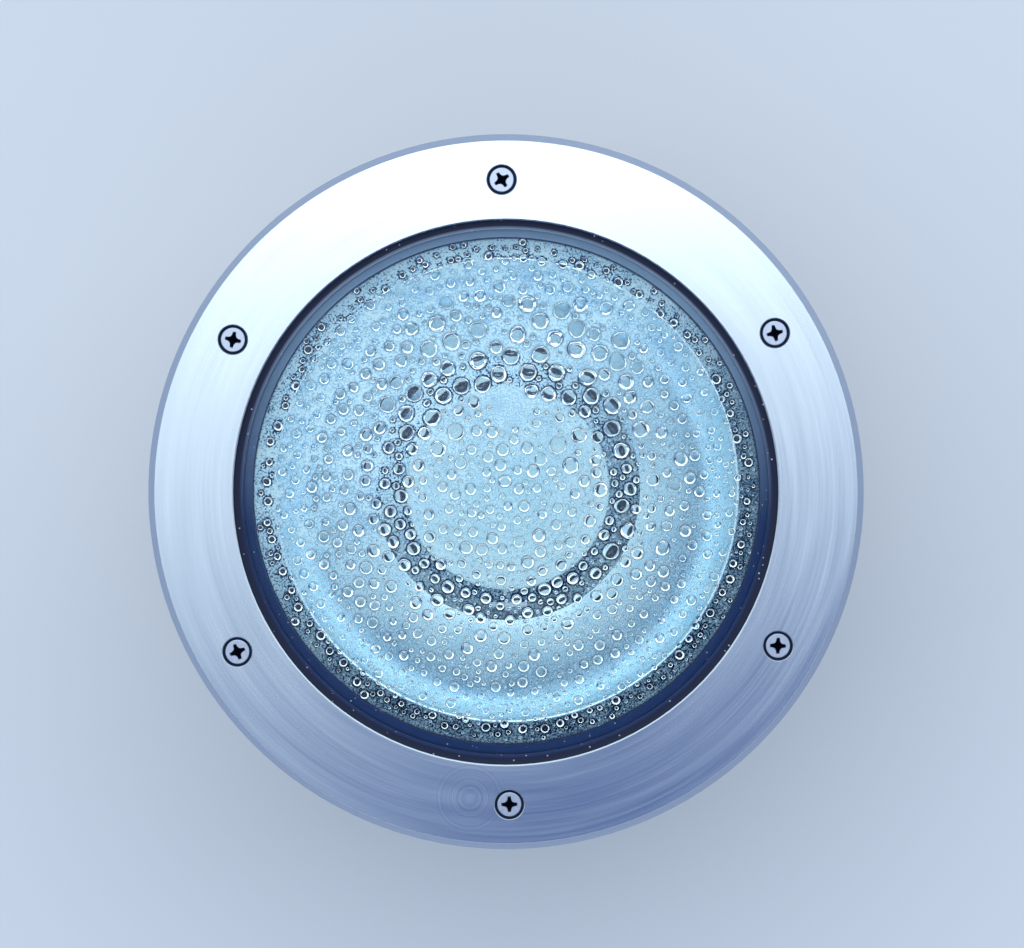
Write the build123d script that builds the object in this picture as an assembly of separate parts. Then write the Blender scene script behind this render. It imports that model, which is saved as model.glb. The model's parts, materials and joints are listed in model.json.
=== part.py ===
from build123d import *
import os
from math import atan, cos, degrees, hypot, radians

# In ground well light: a stainless trim ring with six countersunk screws holds a thick glass
# in a U-shaped gasket onto a cast housing. The housing hangs in a sleeve that is set in the
# ground. Inside, a lamp with a ribbed front swivels and tilts below a spun reflector.
# Origin: centre of the sleeve's underside. +Z up. Millimetres.

# ---- driving dimensions -------------------------------------------------------------------

# Levels
ROOT = 1.0                    # how deep a boss or pillar runs into what it grows from
HOUSING_FLOOR = 58.0          # underside of the housing pot, above the room for the cable

# Glass and gasket
GLASS_R = 90.0
GLASS_THICK = 10.0
GLASS_BEVEL = 1.0
LIP_THICK = 2.0               # thickness of the gasket's upper and lower lips
LIP_LAP = 9.0                 # how far the upper lip laps the glass
LOW_LIP_LAP = 11.2            # how far the lower lip does
GASKET_WALL = 1.8
GASKET_ROUND = 0.6
GASKET_GAP = 0.25             # between the gasket and the recess that holds it

# Trim ring
RING_COVER = 4.0              # how far the ring reaches past the sleeve, over the paving
RING_THICK = 5.0
RING_CHAMFER = 2.1            # bevel of the outer top edge
RING_LAP = 6.25               # how far the ring laps the glass
RING_EDGE = 0.4               # edge break of the bore
RING_RELIEF = 0.5             # depth of the groove above the sleeve's rim
RELIEF_GAP = 0.5              # from that rim to the groove's outer side
SCREW_EDGE = 3.95             # from the gasket's recess to the screws' pitch circle
SCREW_COUNT = 6
SCREW_TURN = 0.7              # degrees by which the screw pattern is turned from square

# Countersunk cover screws
HEAD_R = 3.75
HEAD_EDGE = 0.25              # straight edge of the head
HEAD_SINK = 0.7               # the head lies this far below the ring's face
HEAD_GAP = 0.05
SCREW_R = 1.95
SCREW_LENGTH = 16.0
SCREW_CLEAR = 0.3             # radial, in the ring's holes
RECESS_R = 2.4                # half the cross recess from tip to tip
RECESS_WING = 0.95
RECESS_FOOT = 0.09            # width of a wing at the recess's bottom
RECESS_DEPTH = 1.5
RECESS_TURNS = [38.0, 12.0, 24.0, 70.0, 52.0, 5.0]   # how far each cross is turned

# Housing
FLANGE_WIDTH = 9.45           # outside the gasket's recess
FLANGE_THICK = 8.0
HEAD_WALL = 5.45              # wall round that recess
SEAT_LAP = 12.5               # how far the seat reaches in under the glass
SEAT_THICK = 8.0
BOSS_R = 5.5
BOSS_LENGTH = 24.0
BOSS_HOLE_CLEAR = 0.35        # radial, round the cover screws
BOSS_HOLE_DEPTH = 18.0
POT_WALL = 4.5
POT_BASE = 6.0
POT_ROUND = 4.0
FIN_COUNT = 12
FIN_DEPTH = 8.0
FIN_THICK = 2.5
FIN_END_GAP = 8.0             # from the fins' ends to the pot's ends
NECK_SLOPE = 10.0             # height of the slope between the pot and its head

# Installation sleeve
SLEEVE_BAND = 3.6             # wall of the top band, round the housing's flange
SLEEVE_WALL = 3.5
SLEEVE_RIB = 2.0              # how far the bands and ribs stand out of the wall
SLEEVE_RIB_THICK = 3.0
SLEEVE_RIB_COUNT = 24
SLEEVE_FLOOR = 4.0
SLEEVE_DRAIN_R = 58.0
SLEEVE_TOP_GAP = 0.5          # the sleeve ends this far below the trim ring
SLEEVE_TOP_BAND = 28.0
SLEEVE_LOW_BAND = 10.0
SLEEVE_CLEAR = 0.9            # radial, round the housing's flange and bosses
SLEEVE_STEP_CLEAR = 2.0       # below the housing's bosses
LUG_CLEAR = 0.7               # radial, between the sleeve's lugs and the housing's head
LUG_WIDTH = 34.0
CONDUIT_R = 12.65
CONDUIT_WALL = 4.35
CONDUIT_LENGTH = 17.0
CONDUIT_HEIGHT = 36.0
CONDUIT_SET = 1.5             # the sockets' faces lie this far inside the bands
ANCHOR_INSET = 22.0           # from the sleeve's outside to the anchor holes' pitch circle
ANCHOR_COUNT = 4
ANCHOR_HOLE_R = 2.75

# Cable entries in the housing's floor (20 mm thread)
ENTRY_X = 26.0
ENTRY_Y = -44.0
ENTRY_THREAD_R = 9.9
ENTRY_CLEAR = 0.2
ENTRY_HEX = 24.0              # across flats
ENTRY_RING_THICK = 1.5
ENTRY_RING_WIDTH = 2.4
GLAND_HEX_HEIGHT = 6.0
GLAND_TAIL_R = 8.95
GLAND_TAIL_LENGTH = 12.0
GLAND_BORE_R = 6.2
GLAND_CUP_R = 8.0
GLAND_CUP_DEPTH = 10.0
GLAND_SEAL_R = 5.25           # bore of the seal, for a 10 mm cable
GLAND_NUT_HEIGHT = 16.0
GLAND_NUT_LIP = 4.0
GLAND_NUT_ROUND = 2.0
GLAND_NUT_GAP = 2.0
LOCK_NUT_THICK = 5.0
ENTRY_THREAD_END = 1.5        # thread that stands out of the lock nut
PLUG_HEX_HEIGHT = 6.0
THREAD_GAP = 0.05

# Gear tray on its pillars
TRAY_CLEAR = 5.5              # between the tray's rim and the pot
TRAY_THICK = 2.0
TRAY_GAP = 24.0               # height of the wiring space below the tray
PILLAR_R = 4.5
PILLAR_INSET = 8.0            # from the tray's rim to the pillars' pitch circle
PILLAR_COUNT = 3
TRAY_SCREW_R = 1.9
TRAY_SCREW_LENGTH = 12.0
TRAY_HEAD_R = 3.5
TRAY_HEAD_HEIGHT = 2.4
TRAY_HOLE_CLEAR = 0.1

# Terminal block and earth
BLOCK_LENGTH = 30.0
BLOCK_WIDTH = 18.0
BLOCK_HEIGHT = 16.0
BLOCK_Y = 36.0
BLOCK_POLES = 3
BLOCK_WELL_R = 2.3
BLOCK_WELL_DEPTH = 5.0
BLOCK_WIRE_R = 1.9
BLOCK_WIRE_HEIGHT = 7.0
CLAMP_SCREW_R = 2.1
CLAMP_SCREW_HEIGHT = 3.6
CLAMP_SLOT = 0.6
BLOCK_FIX_R = 1.4
BLOCK_FIX_HEAD_R = 2.6
BLOCK_FIX_HEAD = 1.8
BLOCK_FIX_DEPTH = 4.0
EARTH_X = 40.0
EARTH_Y = -6.0
EARTH_BOSS_R = 5.5
EARTH_BOSS_HEIGHT = 4.0
EARTH_SCREW_R = 1.9
EARTH_SCREW_LENGTH = 8.0
EARTH_HEAD_R = 3.8
EARTH_HEAD_HEIGHT = 2.6
EARTH_WASHER_R = 5.0
EARTH_WASHER_THICK = 1.2
EARTH_LEAD_R = 1.3
LEAD_R = 1.8
LEAD_BEND = 8.0

# Swivel
BUSH_R = 8.0
BUSH_BORE_R = 3.5
BUSH_FLANGE_R = 11.0
BUSH_FLANGE_THICK = 2.0
BUSH_TOP_GAP = 0.5            # bush above its nut
RUNNING_GAP = 0.06            # radial clearance where one piece turns on another
WASHER_GAP = 0.2
FRICTION_WASHER_THICK = 0.5
FRICTION_WASHER_R = 13.0
SPRING_WASHER_THICK = 1.0
SPRING_WASHER_R = 12.0
BUSH_NUT_HEX = 22.0
BUSH_NUT_THICK = 2.5
YOKE_THICK = 3.0
YOKE_REACH = 15.0             # from the gimbal ring to the outside of an arm
YOKE_BASE_WIDTH = 26.0
YOKE_ARM_WIDTH = 20.0
YOKE_SLOT_WIDTH = 8.0
YOKE_SLOT_LENGTH = 56.0
YOKE_CREASE = 0.1             # a bend's outer radius is this much under the thickness
STOP_PIN_R = 1.5
STOP_PIN_OUT = 5.5            # from the outside of an arm to the stop pin
STOP_PIN_HEIGHT = 6.0
STOP_TAB_WIDTH = 4.0
LOCK_SCREW_INSET = 22.0       # from the outside of an arm to the lock screw
LOCK_SCREW_R = 2.0
LOCK_HEAD_R = 6.0
LOCK_HEAD_HEIGHT = 6.0
LOCK_HEAD_LIFT = 4.0          # head above the yoke when tight
KNURLS = 24
KNURL_DEPTH = 0.6

# Lamp: a reflector lamp 64.5 mm across and 91 mm long with a 27 mm screw cap
LAMP_R = 32.25
LAMP_LENGTH = 91.0
LAMP_DEPTH = 45.0             # from the ring's face to the lamp's front
LENS_THICK = 5.0
LENS_RIB_PITCH = 2.2
LENS_RIB_HEIGHT = 0.5
LENS_RIB_HALF = 0.77
LENS_RIM = 2.0
BOWL_WALL = 1.6
BOWL_EDGE = 0.5               # the bowl's rim lies this far inside the lens's
BOWL_SAG = 5.0
NECK_R = 14.0
NECK_LENGTH = 8.0
NECK_PLUG = 4.0
CAPSULE_R = 5.5
CAPSULE_LENGTH = 36.0
CAP_R = 13.25
CAP_LENGTH = 25.5
CAP_THREAD_PITCH = 3.62
CAP_THREAD_DEPTH = 0.9
CAP_THREAD_FOOT = 1.45        # half a thread's width at its foot
CAP_THREAD_CREST = 0.36       # half its width at its crest
CAP_RIM = 2.9                 # plain rim above the threads
CAP_THREADS = 5
INSULATOR_R = 12.0
INSULATOR_TIP_R = 5.2
INSULATOR_HEIGHT = 1.2
CONTACT_R = 4.5
CONTACT_HEIGHT = 0.8

# Tilt
TILT_BELOW_FRONT = 20.0       # from the lamp's front to the tilt axis
GIMBAL_GAP = 1.75             # between the lamp and the gimbal ring
GIMBAL_WALL = 3.0
GIMBAL_HEIGHT = 14.0
PIVOT_BOSS_R = 6.0
PIVOT_GAP = 0.3               # between a pivot boss and the yoke's arm
PIVOT_R = 2.5
PIVOT_THREAD_R = 2.0
PIVOT_THREAD_LENGTH = 8.0
PIVOT_HEAD_R = 5.0
PIVOT_HEAD_HEIGHT = 3.0
KNOB_R = 8.0
KNOB_LENGTH = 8.0

# Lampholder and its cradle
HOLDER_WALL = 5.9
HOLDER_LIP = 3.9              # wall at the holder's mouth
HOLDER_LENGTH = 43.5
HOLDER_MOUTH = 6.0            # height of the taper at the holder's mouth
HOLDER_FOOT = 1.0             # bevel of its lower edge
HOLDER_CLEAR = 0.3            # between the holder and its threaded shell
HOLDER_POCKET_R = 9.0
HOLDER_POCKET_DEPTH = 7.0
HOLDER_OVER_CAP = 0.5         # holder's mouth above the top of the lamp's cap
SHELL_WALL = 0.7
SHELL_GAP = 0.35
HOLDER_CONTACT_R = 5.0
HOLDER_SCREW_X = 9.0
HOLDER_SCREW_R = 1.5
HOLDER_SCREW_DEPTH = 5.0
HOLDER_HEAD_R = 2.8
HOLDER_HEAD_HEIGHT = 2.4
LEAD_ENTRY_HEIGHT = 8.5       # above the holder's underside
LEAD_ENTRY_R = 2.2
LEAD_ENTRY_DEPTH = 6.0
LEAD_LOOP_X = 32.0
CRADLE_ROOM = 14.5            # above the pivot bush, for the tilting cradle and the lead
CRADLE_THICK = 1.5
CRADLE_WIDTH = 12.0
CRADLE_GAP = 2.0              # between the holder and the cradle's arms
CRADLE_KNEE = 1.5             # the arms spread from this far above the holder
CRADLE_SHOULDER = 6.5         # and stop spreading this far below the gimbal ring
CRADLE_TOP_GAP = 1.0          # the arms end this far below the gimbal ring's top
RIVET_R = 1.5
RIVET_HEAD_R = 2.8
RIVET_HEAD_HEIGHT = 1.1
RIVET_STEP = 7.0
RIVET_SEAT = 0.25             # the flat inner head stands off the curved ring

# Reflector and its carrier
REFLECTOR_RIM_GAP = 4.2       # between the rolled rim and the pot
REFLECTOR_RIM_DEPTH = 22.0    # from the ring's face
REFLECTOR_NECK_GAP = 9.75     # round the lamp, so that it can tilt
REFLECTOR_NECK_DEPTH = 47.0
REFLECTOR_WALL = 1.0
REFLECTOR_SAG = 3.2
REFLECTOR_BEAD_R = 1.2
REFLECTOR_SPIGOT = 5.0
CARRIER_THICK = 1.5
CARRIER_CLEAR = 0.6           # between the carrier's rim and the pot
CARRIER_BELOW_NECK = 1.2
CARRIER_GAP = 0.2
CARRIER_LUG_WIDTH = 12.0
CARRIER_LUG_HEIGHT = 10.0
CARRIER_LUG_LENGTH = 13.5     # how far the lugs stand in from the pot's wall
CARRIER_SCREW_INSET = 7.5     # from that wall to the screws
CARRIER_SCREW_R = 1.4
CARRIER_SCREW_LENGTH = 8.0
CARRIER_HEAD_R = 2.75
CARRIER_HEAD_HEIGHT = 2.0
RETAINER_WIDTH = 3.5
RETAINER_THICK = 1.5

# ---- levels and radii that follow ----------------------------------------------------------

# Levels, from the housing's floor up to the trim ring
pot_inside = HOUSING_FLOOR + POT_BASE
tray_under = pot_inside + TRAY_GAP
tray_top = tray_under + TRAY_THICK
yoke_under = tray_top + FRICTION_WASHER_THICK
yoke_base_top = yoke_under + YOKE_THICK
bush_nut_under = yoke_base_top + SPRING_WASHER_THICK
bush_top = bush_nut_under + BUSH_NUT_THICK + BUSH_TOP_GAP
cradle_under = bush_top + CRADLE_ROOM
holder_under = cradle_under + CRADLE_THICK
holder_top = holder_under + HOLDER_LENGTH
cap_top = holder_top - HOLDER_OVER_CAP
cap_bottom = cap_top - CAP_LENGTH
lamp_tip = cap_bottom - INSULATOR_HEIGHT - CONTACT_HEIGHT
lamp_front = lamp_tip + LAMP_LENGTH
tilt_level = lamp_front - TILT_BELOW_FRONT
gimbal_low = tilt_level - GIMBAL_HEIGHT / 2
gimbal_high = tilt_level + GIMBAL_HEIGHT / 2
ring_top = lamp_front + LAMP_DEPTH
paving_level = ring_top - RING_THICK    # underside of the trim ring, which lies on the paving
glass_top = paving_level
glass_bottom = glass_top - GLASS_THICK
seat_level = glass_bottom - LIP_THICK
seat_under = seat_level - SEAT_THICK
flange_under = paving_level - FLANGE_THICK
boss_under = paving_level - BOSS_LENGTH
reflector_rim = ring_top - REFLECTOR_RIM_DEPTH
reflector_neck = ring_top - REFLECTOR_NECK_DEPTH
carrier_top = reflector_neck - CARRIER_BELOW_NECK
carrier_under = carrier_top - CARRIER_THICK
entry_under = HOUSING_FLOOR - ENTRY_RING_THICK
gland_hex_under = entry_under - GLAND_HEX_HEIGHT
gland_tail_under = gland_hex_under - GLAND_TAIL_LENGTH
gland_nut_under = gland_hex_under - GLAND_NUT_GAP - GLAND_NUT_HEIGHT

# Radii, from the glass outwards
ring_bore_r = GLASS_R - RING_LAP
recess_r = GLASS_R + GASKET_WALL + GASKET_GAP
screw_pitch_r = recess_r + SCREW_EDGE
flange_r = recess_r + FLANGE_WIDTH
mouth_r = flange_r + SLEEVE_CLEAR
sleeve_r = mouth_r + SLEEVE_BAND
ring_r = sleeve_r + RING_COVER
head_wall_r = recess_r + HEAD_WALL
screw_hole_r = SCREW_R + SCREW_CLEAR

# Radii, from the glass inwards
seat_bore_r = GLASS_R - SEAT_LAP
pot_r = seat_bore_r + POT_WALL
fin_r = pot_r + FIN_DEPTH
wall_middle_r = (pot_r + seat_bore_r) / 2
reflector_rim_r = seat_bore_r - REFLECTOR_RIM_GAP
carrier_r = seat_bore_r - CARRIER_CLEAR
carrier_pitch_r = seat_bore_r - CARRIER_SCREW_INSET
tray_r = seat_bore_r - TRAY_CLEAR
pillar_pitch_r = tray_r - PILLAR_INSET
entry_r = ENTRY_THREAD_R + ENTRY_CLEAR

# Radii, from the lamp outwards
gimbal_in = LAMP_R + GIMBAL_GAP
gimbal_r = gimbal_in + GIMBAL_WALL
yoke_half = gimbal_r + YOKE_REACH
arm_inside = yoke_half - YOKE_THICK
boss_end = arm_inside - PIVOT_GAP
stop_pin_pitch_r = yoke_half + STOP_PIN_OUT
lock_screw_x = LOCK_SCREW_INSET - yoke_half
reflector_neck_r = LAMP_R + REFLECTOR_NECK_GAP
holder_bore_r = CAP_R + SHELL_GAP + SHELL_WALL + HOLDER_CLEAR
holder_r = holder_bore_r + HOLDER_WALL

screw_angles = [SCREW_TURN + 30.0 + 360.0 / SCREW_COUNT * i for i in range(SCREW_COUNT)]
third_turns = [30.0 + 360.0 / PILLAR_COUNT * i for i in range(PILLAR_COUNT)]

# ---- helpers -------------------------------------------------------------------------------

STAND = (Align.CENTER, Align.CENTER, Align.MIN)


def rod(radius, low, high):
    """Solid cylinder on the Z axis between two levels."""
    return Pos(0, 0, low) * Cylinder(radius, high - low, align=STAND)


def tube(outer, inner, low, high):
    """Hollow cylinder on the Z axis between two levels."""
    return rod(outer, low, high) - rod(inner, low, high)


def block(x_size, y_size, low, high):
    return Pos(0, 0, low) * Box(x_size, y_size, high - low, align=STAND)


def hexagon(across_flats, low, high):
    prism = extrude(RegularPolygon(across_flats / 2, 6, major_radius=False), high - low)
    return Pos(0, 0, low) * prism


def turned(points):
    """Body of revolution about Z from an outline of (radius, level) points."""
    outline = make_face(Polyline([(r, 0, z) for r, z in points], close=True))
    return revolve(outline, Axis.Z)


def around(shape, radius, angle):
    """The shape moved out to a radius and turned to an angle about Z."""
    return Rot(0, 0, angle) * Pos(radius, 0, 0) * shape


def along_x(shape):
    """A shape made on +Z, turned to lie on +X."""
    return Rot(0, 90, 0) * shape


def group(pieces):
    return Compound(children=list(pieces))


def merged(first, others):
    for other in others:
        first = first + other
    return first


def cut_by(first, others):
    for other in others:
        first = first - other
    return first


def cable(points, bend, radius):
    """Round lead along straight runs joined by tangent arcs."""
    path = FilletPolyline(*points, radius=bend)
    section = Plane(origin=path @ 0, z_dir=path % 0) * Circle(radius)
    return sweep(section, path=path)


def knurled(radius, low, high):
    """Knob with straight knurls round its edge."""
    knob = rod(radius, low, high)
    grooves = [
        around(rod(KNURL_DEPTH, low, high), radius, 360.0 / KNURLS * i) for i in range(KNURLS)
    ]
    return cut_by(knob, grooves)


def bulged(start, end, sag, wall):
    """Outline of a thin wall whose inner line is an arc that sags outwards by sag."""
    run = end[0] - start[0]
    rise = end[1] - start[1]
    chord = hypot(run, rise)
    radius = (chord * chord / 4 + sag * sag) / (2 * sag)
    out = (rise / chord, -run / chord)
    reach = radius - sag
    centre_r = (start[0] + end[0]) / 2 - out[0] * reach
    centre_z = (start[1] + end[1]) / 2 - out[1] * reach
    scale = (radius + wall) / radius
    middle = (centre_r + out[0] * radius, centre_z + out[1] * radius)
    outer = [
        (centre_r + (r - centre_r) * scale, centre_z + (z - centre_z) * scale)
        for r, z in (start, middle, end)
    ]
    points = [(r, 0, z) for r, z in (start, middle, end)]
    shell = [(r, 0, z) for r, z in outer]
    edges = [
        ThreePointArc(points[0], points[1], points[2]),
        Line(points[2], shell[2]),
        ThreePointArc(shell[2], shell[1], shell[0]),
        Line(shell[0], points[0]),
    ]
    return make_face(edges), outer


def save(name, shape):
    export_step(shape, f"parts/{name}.step")


# ---- cover: trim ring, screws, glass, gasket --------------------------------------------------

def trim_ring():
    bevel = RING_CHAMFER
    relief = paving_level + RING_RELIEF
    relief_r = sleeve_r + RELIEF_GAP
    ring = turned([
        (ring_bore_r, paving_level + LIP_THICK),
        (recess_r, paving_level + LIP_THICK),
        (recess_r, paving_level),
        (flange_r, paving_level),
        (flange_r, relief),
        (relief_r, relief),
        (relief_r, paving_level),
        (ring_r, paving_level),
        (ring_r, ring_top - bevel),
        (ring_r - bevel, ring_top),
        (ring_bore_r + RING_EDGE, ring_top),
        (ring_bore_r, ring_top - RING_EDGE),
    ])
    sink_r = HEAD_R + HEAD_GAP + HEAD_SINK + HEAD_EDGE
    sink = turned([
        (0, ring_top),
        (sink_r, ring_top),
        (screw_hole_r, ring_top - sink_r + screw_hole_r),
        (screw_hole_r, paving_level),
        (0, paving_level),
    ])
    return cut_by(ring, [around(sink, screw_pitch_r, angle) for angle in screw_angles])


def cover_screw():
    top = ring_top - HEAD_SINK
    edge = top - HEAD_EDGE
    cone_end = edge - HEAD_R + SCREW_R
    screw = turned([
        (0, top),
        (HEAD_R, top),
        (HEAD_R, edge),
        (SCREW_R, cone_end),
        (SCREW_R, top - SCREW_LENGTH + SCREW_R / 2),
        (SCREW_R / 2, top - SCREW_LENGTH),
        (0, top - SCREW_LENGTH),
    ])
    wings = Rectangle(2 * RECESS_R, RECESS_WING) + Rectangle(RECESS_WING, 2 * RECESS_R)
    taper = degrees(atan((RECESS_WING - RECESS_FOOT) / 2 / RECESS_DEPTH))
    recess = extrude(wings, -RECESS_DEPTH, taper=taper)
    return screw - Pos(0, 0, top) * recess


def cover_screws():
    return group([
        around(Rot(0, 0, turn) * cover_screw(), screw_pitch_r, angle)
        for angle, turn in zip(screw_angles, RECESS_TURNS)
    ])


def glass():
    bevel = GLASS_BEVEL
    return turned([
        (0, glass_bottom),
        (GLASS_R - bevel, glass_bottom),
        (GLASS_R, glass_bottom + bevel),
        (GLASS_R, glass_top - bevel),
        (GLASS_R - bevel, glass_top),
        (0, glass_top),
    ])


def gasket():
    outside = GLASS_R + GASKET_WALL
    upper = glass_top + LIP_THICK
    lower = glass_bottom - LIP_THICK
    lip_r = GLASS_R - LIP_LAP
    low_lip_r = GLASS_R - LOW_LIP_LAP
    ease = GASKET_ROUND
    return turned([
        (lip_r, glass_top),
        (lip_r, upper - ease),
        (lip_r + ease, upper),
        (outside, upper),
        (outside, lower),
        (low_lip_r + ease, lower),
        (low_lip_r, lower + ease),
        (low_lip_r, glass_bottom),
        (GLASS_R - GLASS_BEVEL, glass_bottom),
        (GLASS_R, glass_bottom + GLASS_BEVEL),
        (GLASS_R, glass_top - GLASS_BEVEL),
        (GLASS_R - GLASS_BEVEL, glass_top),
    ])


# ---- housing ----------------------------------------------------------------------------------

def housing():
    slope_low = seat_under - NECK_SLOPE
    pot = turned([
        (0, HOUSING_FLOOR),
        (pot_r - POT_ROUND, HOUSING_FLOOR),
        (pot_r, HOUSING_FLOOR + POT_ROUND),
        (pot_r, slope_low),
        (head_wall_r, seat_under),
        (head_wall_r, flange_under),
        (flange_r, flange_under),
        (flange_r, paving_level),
        (recess_r, paving_level),
        (recess_r, seat_level),
        (seat_bore_r, seat_level),
        (seat_bore_r, pot_inside),
        (0, pot_inside),
    ])
    bosses = [
        around(rod(BOSS_R, boss_under, paving_level), screw_pitch_r, angle)
        for angle in screw_angles
    ]
    inside = rod(recess_r, boss_under - ROOT, paving_level) - rod(recess_r, seat_under, seat_level)
    bosses = [boss - inside for boss in bosses]
    fin_length = fin_r - wall_middle_r
    fin_middle = fin_r - fin_length / 2
    fin = block(fin_length, FIN_THICK, HOUSING_FLOOR + FIN_END_GAP, slope_low - FIN_END_GAP)
    fins = [around(fin, fin_middle, 360.0 / FIN_COUNT * (i + 0.5)) for i in range(FIN_COUNT)]
    pillar = rod(PILLAR_R, pot_inside - ROOT, tray_under)
    pillars = [around(pillar, pillar_pitch_r, angle) for angle in third_turns]
    lug_low = carrier_under - CARRIER_LUG_HEIGHT
    lug = block(2 * CARRIER_LUG_LENGTH, CARRIER_LUG_WIDTH, lug_low, carrier_under)
    lug_cut = rod(wall_middle_r, pot_inside, carrier_under)
    lugs = [around(lug, seat_bore_r, angle) & lug_cut for angle in third_turns]
    earth_boss = Pos(EARTH_X, EARTH_Y, 0) * rod(
        EARTH_BOSS_R, pot_inside - ROOT, pot_inside + EARTH_BOSS_HEIGHT
    )
    shape = merged(pot, bosses + fins + pillars + lugs + [earth_boss])
    screw_hole = rod(SCREW_R + BOSS_HOLE_CLEAR, paving_level - BOSS_HOLE_DEPTH, paving_level)
    tray_hole = rod(TRAY_SCREW_R, tray_under - TRAY_SCREW_LENGTH, tray_under)
    carrier_hole = rod(CARRIER_SCREW_R, carrier_under - CARRIER_SCREW_LENGTH, carrier_under)
    fix_hole = rod(BLOCK_FIX_R, pot_inside - BLOCK_FIX_DEPTH, pot_inside)
    earth_hole = rod(
        EARTH_SCREW_R,
        pot_inside + EARTH_BOSS_HEIGHT - EARTH_SCREW_LENGTH,
        pot_inside + EARTH_BOSS_HEIGHT,
    )
    holes = [around(screw_hole, screw_pitch_r, angle) for angle in screw_angles]
    holes += [around(tray_hole, pillar_pitch_r, angle) for angle in third_turns]
    holes += [around(carrier_hole, carrier_pitch_r, angle) for angle in third_turns]
    holes += [place * rod(entry_r, HOUSING_FLOOR, pot_inside) for place in entry_places()]
    holes += [place * fix_hole for place in block_fix_places()]
    holes.append(Pos(EARTH_X, EARTH_Y, 0) * earth_hole)
    return cut_by(shape, holes)


def entry_places():
    return [Pos(ENTRY_X, ENTRY_Y, 0), Pos(-ENTRY_X, ENTRY_Y, 0)]


# ---- cable gland and blanking plug ------------------------------------------------------------

def gland_body():
    thread_top = pot_inside + LOCK_NUT_THICK + ENTRY_THREAD_END
    shape = rod(ENTRY_THREAD_R, entry_under, thread_top)
    shape = shape + hexagon(ENTRY_HEX, gland_hex_under, entry_under)
    shape = shape + rod(GLAND_TAIL_R, gland_tail_under, gland_hex_under)
    shape = shape - rod(GLAND_BORE_R, gland_tail_under, thread_top)
    cup = rod(GLAND_CUP_R, gland_tail_under, gland_tail_under + GLAND_CUP_DEPTH)
    return entry_places()[0] * (shape - cup)


def gland_seal():
    top = gland_tail_under + GLAND_CUP_DEPTH
    low = gland_nut_under + GLAND_NUT_LIP
    shape = tube(GLAND_CUP_R, GLAND_SEAL_R, low, top)
    return entry_places()[0] * shape


def gland_nut():
    top = gland_nut_under + GLAND_NUT_HEIGHT
    lip = gland_nut_under + GLAND_NUT_LIP
    corner = ENTRY_HEX / 2 / cos(radians(30))
    envelope = turned([
        (0, gland_nut_under),
        (GLAND_TAIL_R, gland_nut_under),
        (corner, lip + GLAND_NUT_ROUND),
        (corner, top),
        (0, top),
    ])
    shape = hexagon(ENTRY_HEX, gland_nut_under, top) & envelope
    shape = shape - rod(GLAND_BORE_R, gland_nut_under, lip)
    return entry_places()[0] * (shape - rod(GLAND_TAIL_R + THREAD_GAP, lip, top))


def entry_rings():
    outer = entry_r + ENTRY_RING_WIDTH
    ring = tube(outer, entry_r, entry_under, HOUSING_FLOOR)
    return group([place * ring for place in entry_places()])


def entry_lock_nuts():
    top = pot_inside + LOCK_NUT_THICK
    nut = hexagon(ENTRY_HEX, pot_inside, top)
    nut = nut - rod(ENTRY_THREAD_R + THREAD_GAP, pot_inside, top)
    return group([place * nut for place in entry_places()])


def blanking_plug():
    thread_top = pot_inside + LOCK_NUT_THICK + ENTRY_THREAD_END
    shape = rod(ENTRY_THREAD_R, entry_under, thread_top)
    low = entry_under - PLUG_HEX_HEIGHT
    return entry_places()[1] * (shape + hexagon(ENTRY_HEX, low, entry_under))


# ---- wiring space -----------------------------------------------------------------------------

def block_fix_places():
    reach = BLOCK_LENGTH / 2 / BLOCK_POLES
    return [Pos(-reach, BLOCK_Y, 0), Pos(reach, BLOCK_Y, 0)]


def pole_places():
    pitch = BLOCK_LENGTH / BLOCK_POLES
    places = []
    for i in range(BLOCK_POLES):
        x = pitch * (i - (BLOCK_POLES - 1) / 2)
        for side in (-1, 1):
            places.append(Pos(x, BLOCK_Y + side * BLOCK_WIDTH / 4, 0))
    return places


def terminal_block():
    top = pot_inside + BLOCK_HEIGHT
    shape = Pos(0, BLOCK_Y, 0) * block(BLOCK_LENGTH, BLOCK_WIDTH, pot_inside, top)
    well = rod(BLOCK_WELL_R, top - BLOCK_WELL_DEPTH, top)
    fix = rod(BLOCK_FIX_R, pot_inside, top)
    fix = fix + rod(BLOCK_FIX_HEAD_R, top - BLOCK_FIX_HEAD, top)
    shape = cut_by(shape, [place * well for place in pole_places()])
    shape = cut_by(shape, [place * fix for place in block_fix_places()])
    wire = Rot(90, 0, 0) * Cylinder(BLOCK_WIRE_R, BLOCK_WIDTH)
    pitch = BLOCK_LENGTH / BLOCK_POLES
    for i in range(BLOCK_POLES):
        x = pitch * (i - (BLOCK_POLES - 1) / 2)
        shape = shape - Pos(x, BLOCK_Y, pot_inside + BLOCK_WIRE_HEIGHT) * wire
    return shape


def terminal_screws():
    low = pot_inside + BLOCK_HEIGHT - BLOCK_WELL_DEPTH
    high = low + CLAMP_SCREW_HEIGHT
    screw = rod(CLAMP_SCREW_R, low, high)
    screw = screw - block(2 * CLAMP_SCREW_R, CLAMP_SLOT, high - CLAMP_SLOT * 2, high)
    return group([place * screw for place in pole_places()])


def terminal_fixings():
    top = pot_inside + BLOCK_HEIGHT
    screw = rod(BLOCK_FIX_R, pot_inside - BLOCK_FIX_DEPTH, top - BLOCK_FIX_HEAD)
    screw = screw + rod(BLOCK_FIX_HEAD_R, top - BLOCK_FIX_HEAD, top)
    screw = screw - block(2 * BLOCK_FIX_HEAD_R, CLAMP_SLOT, top - CLAMP_SLOT * 2, top)
    return group([place * screw for place in block_fix_places()])


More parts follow.
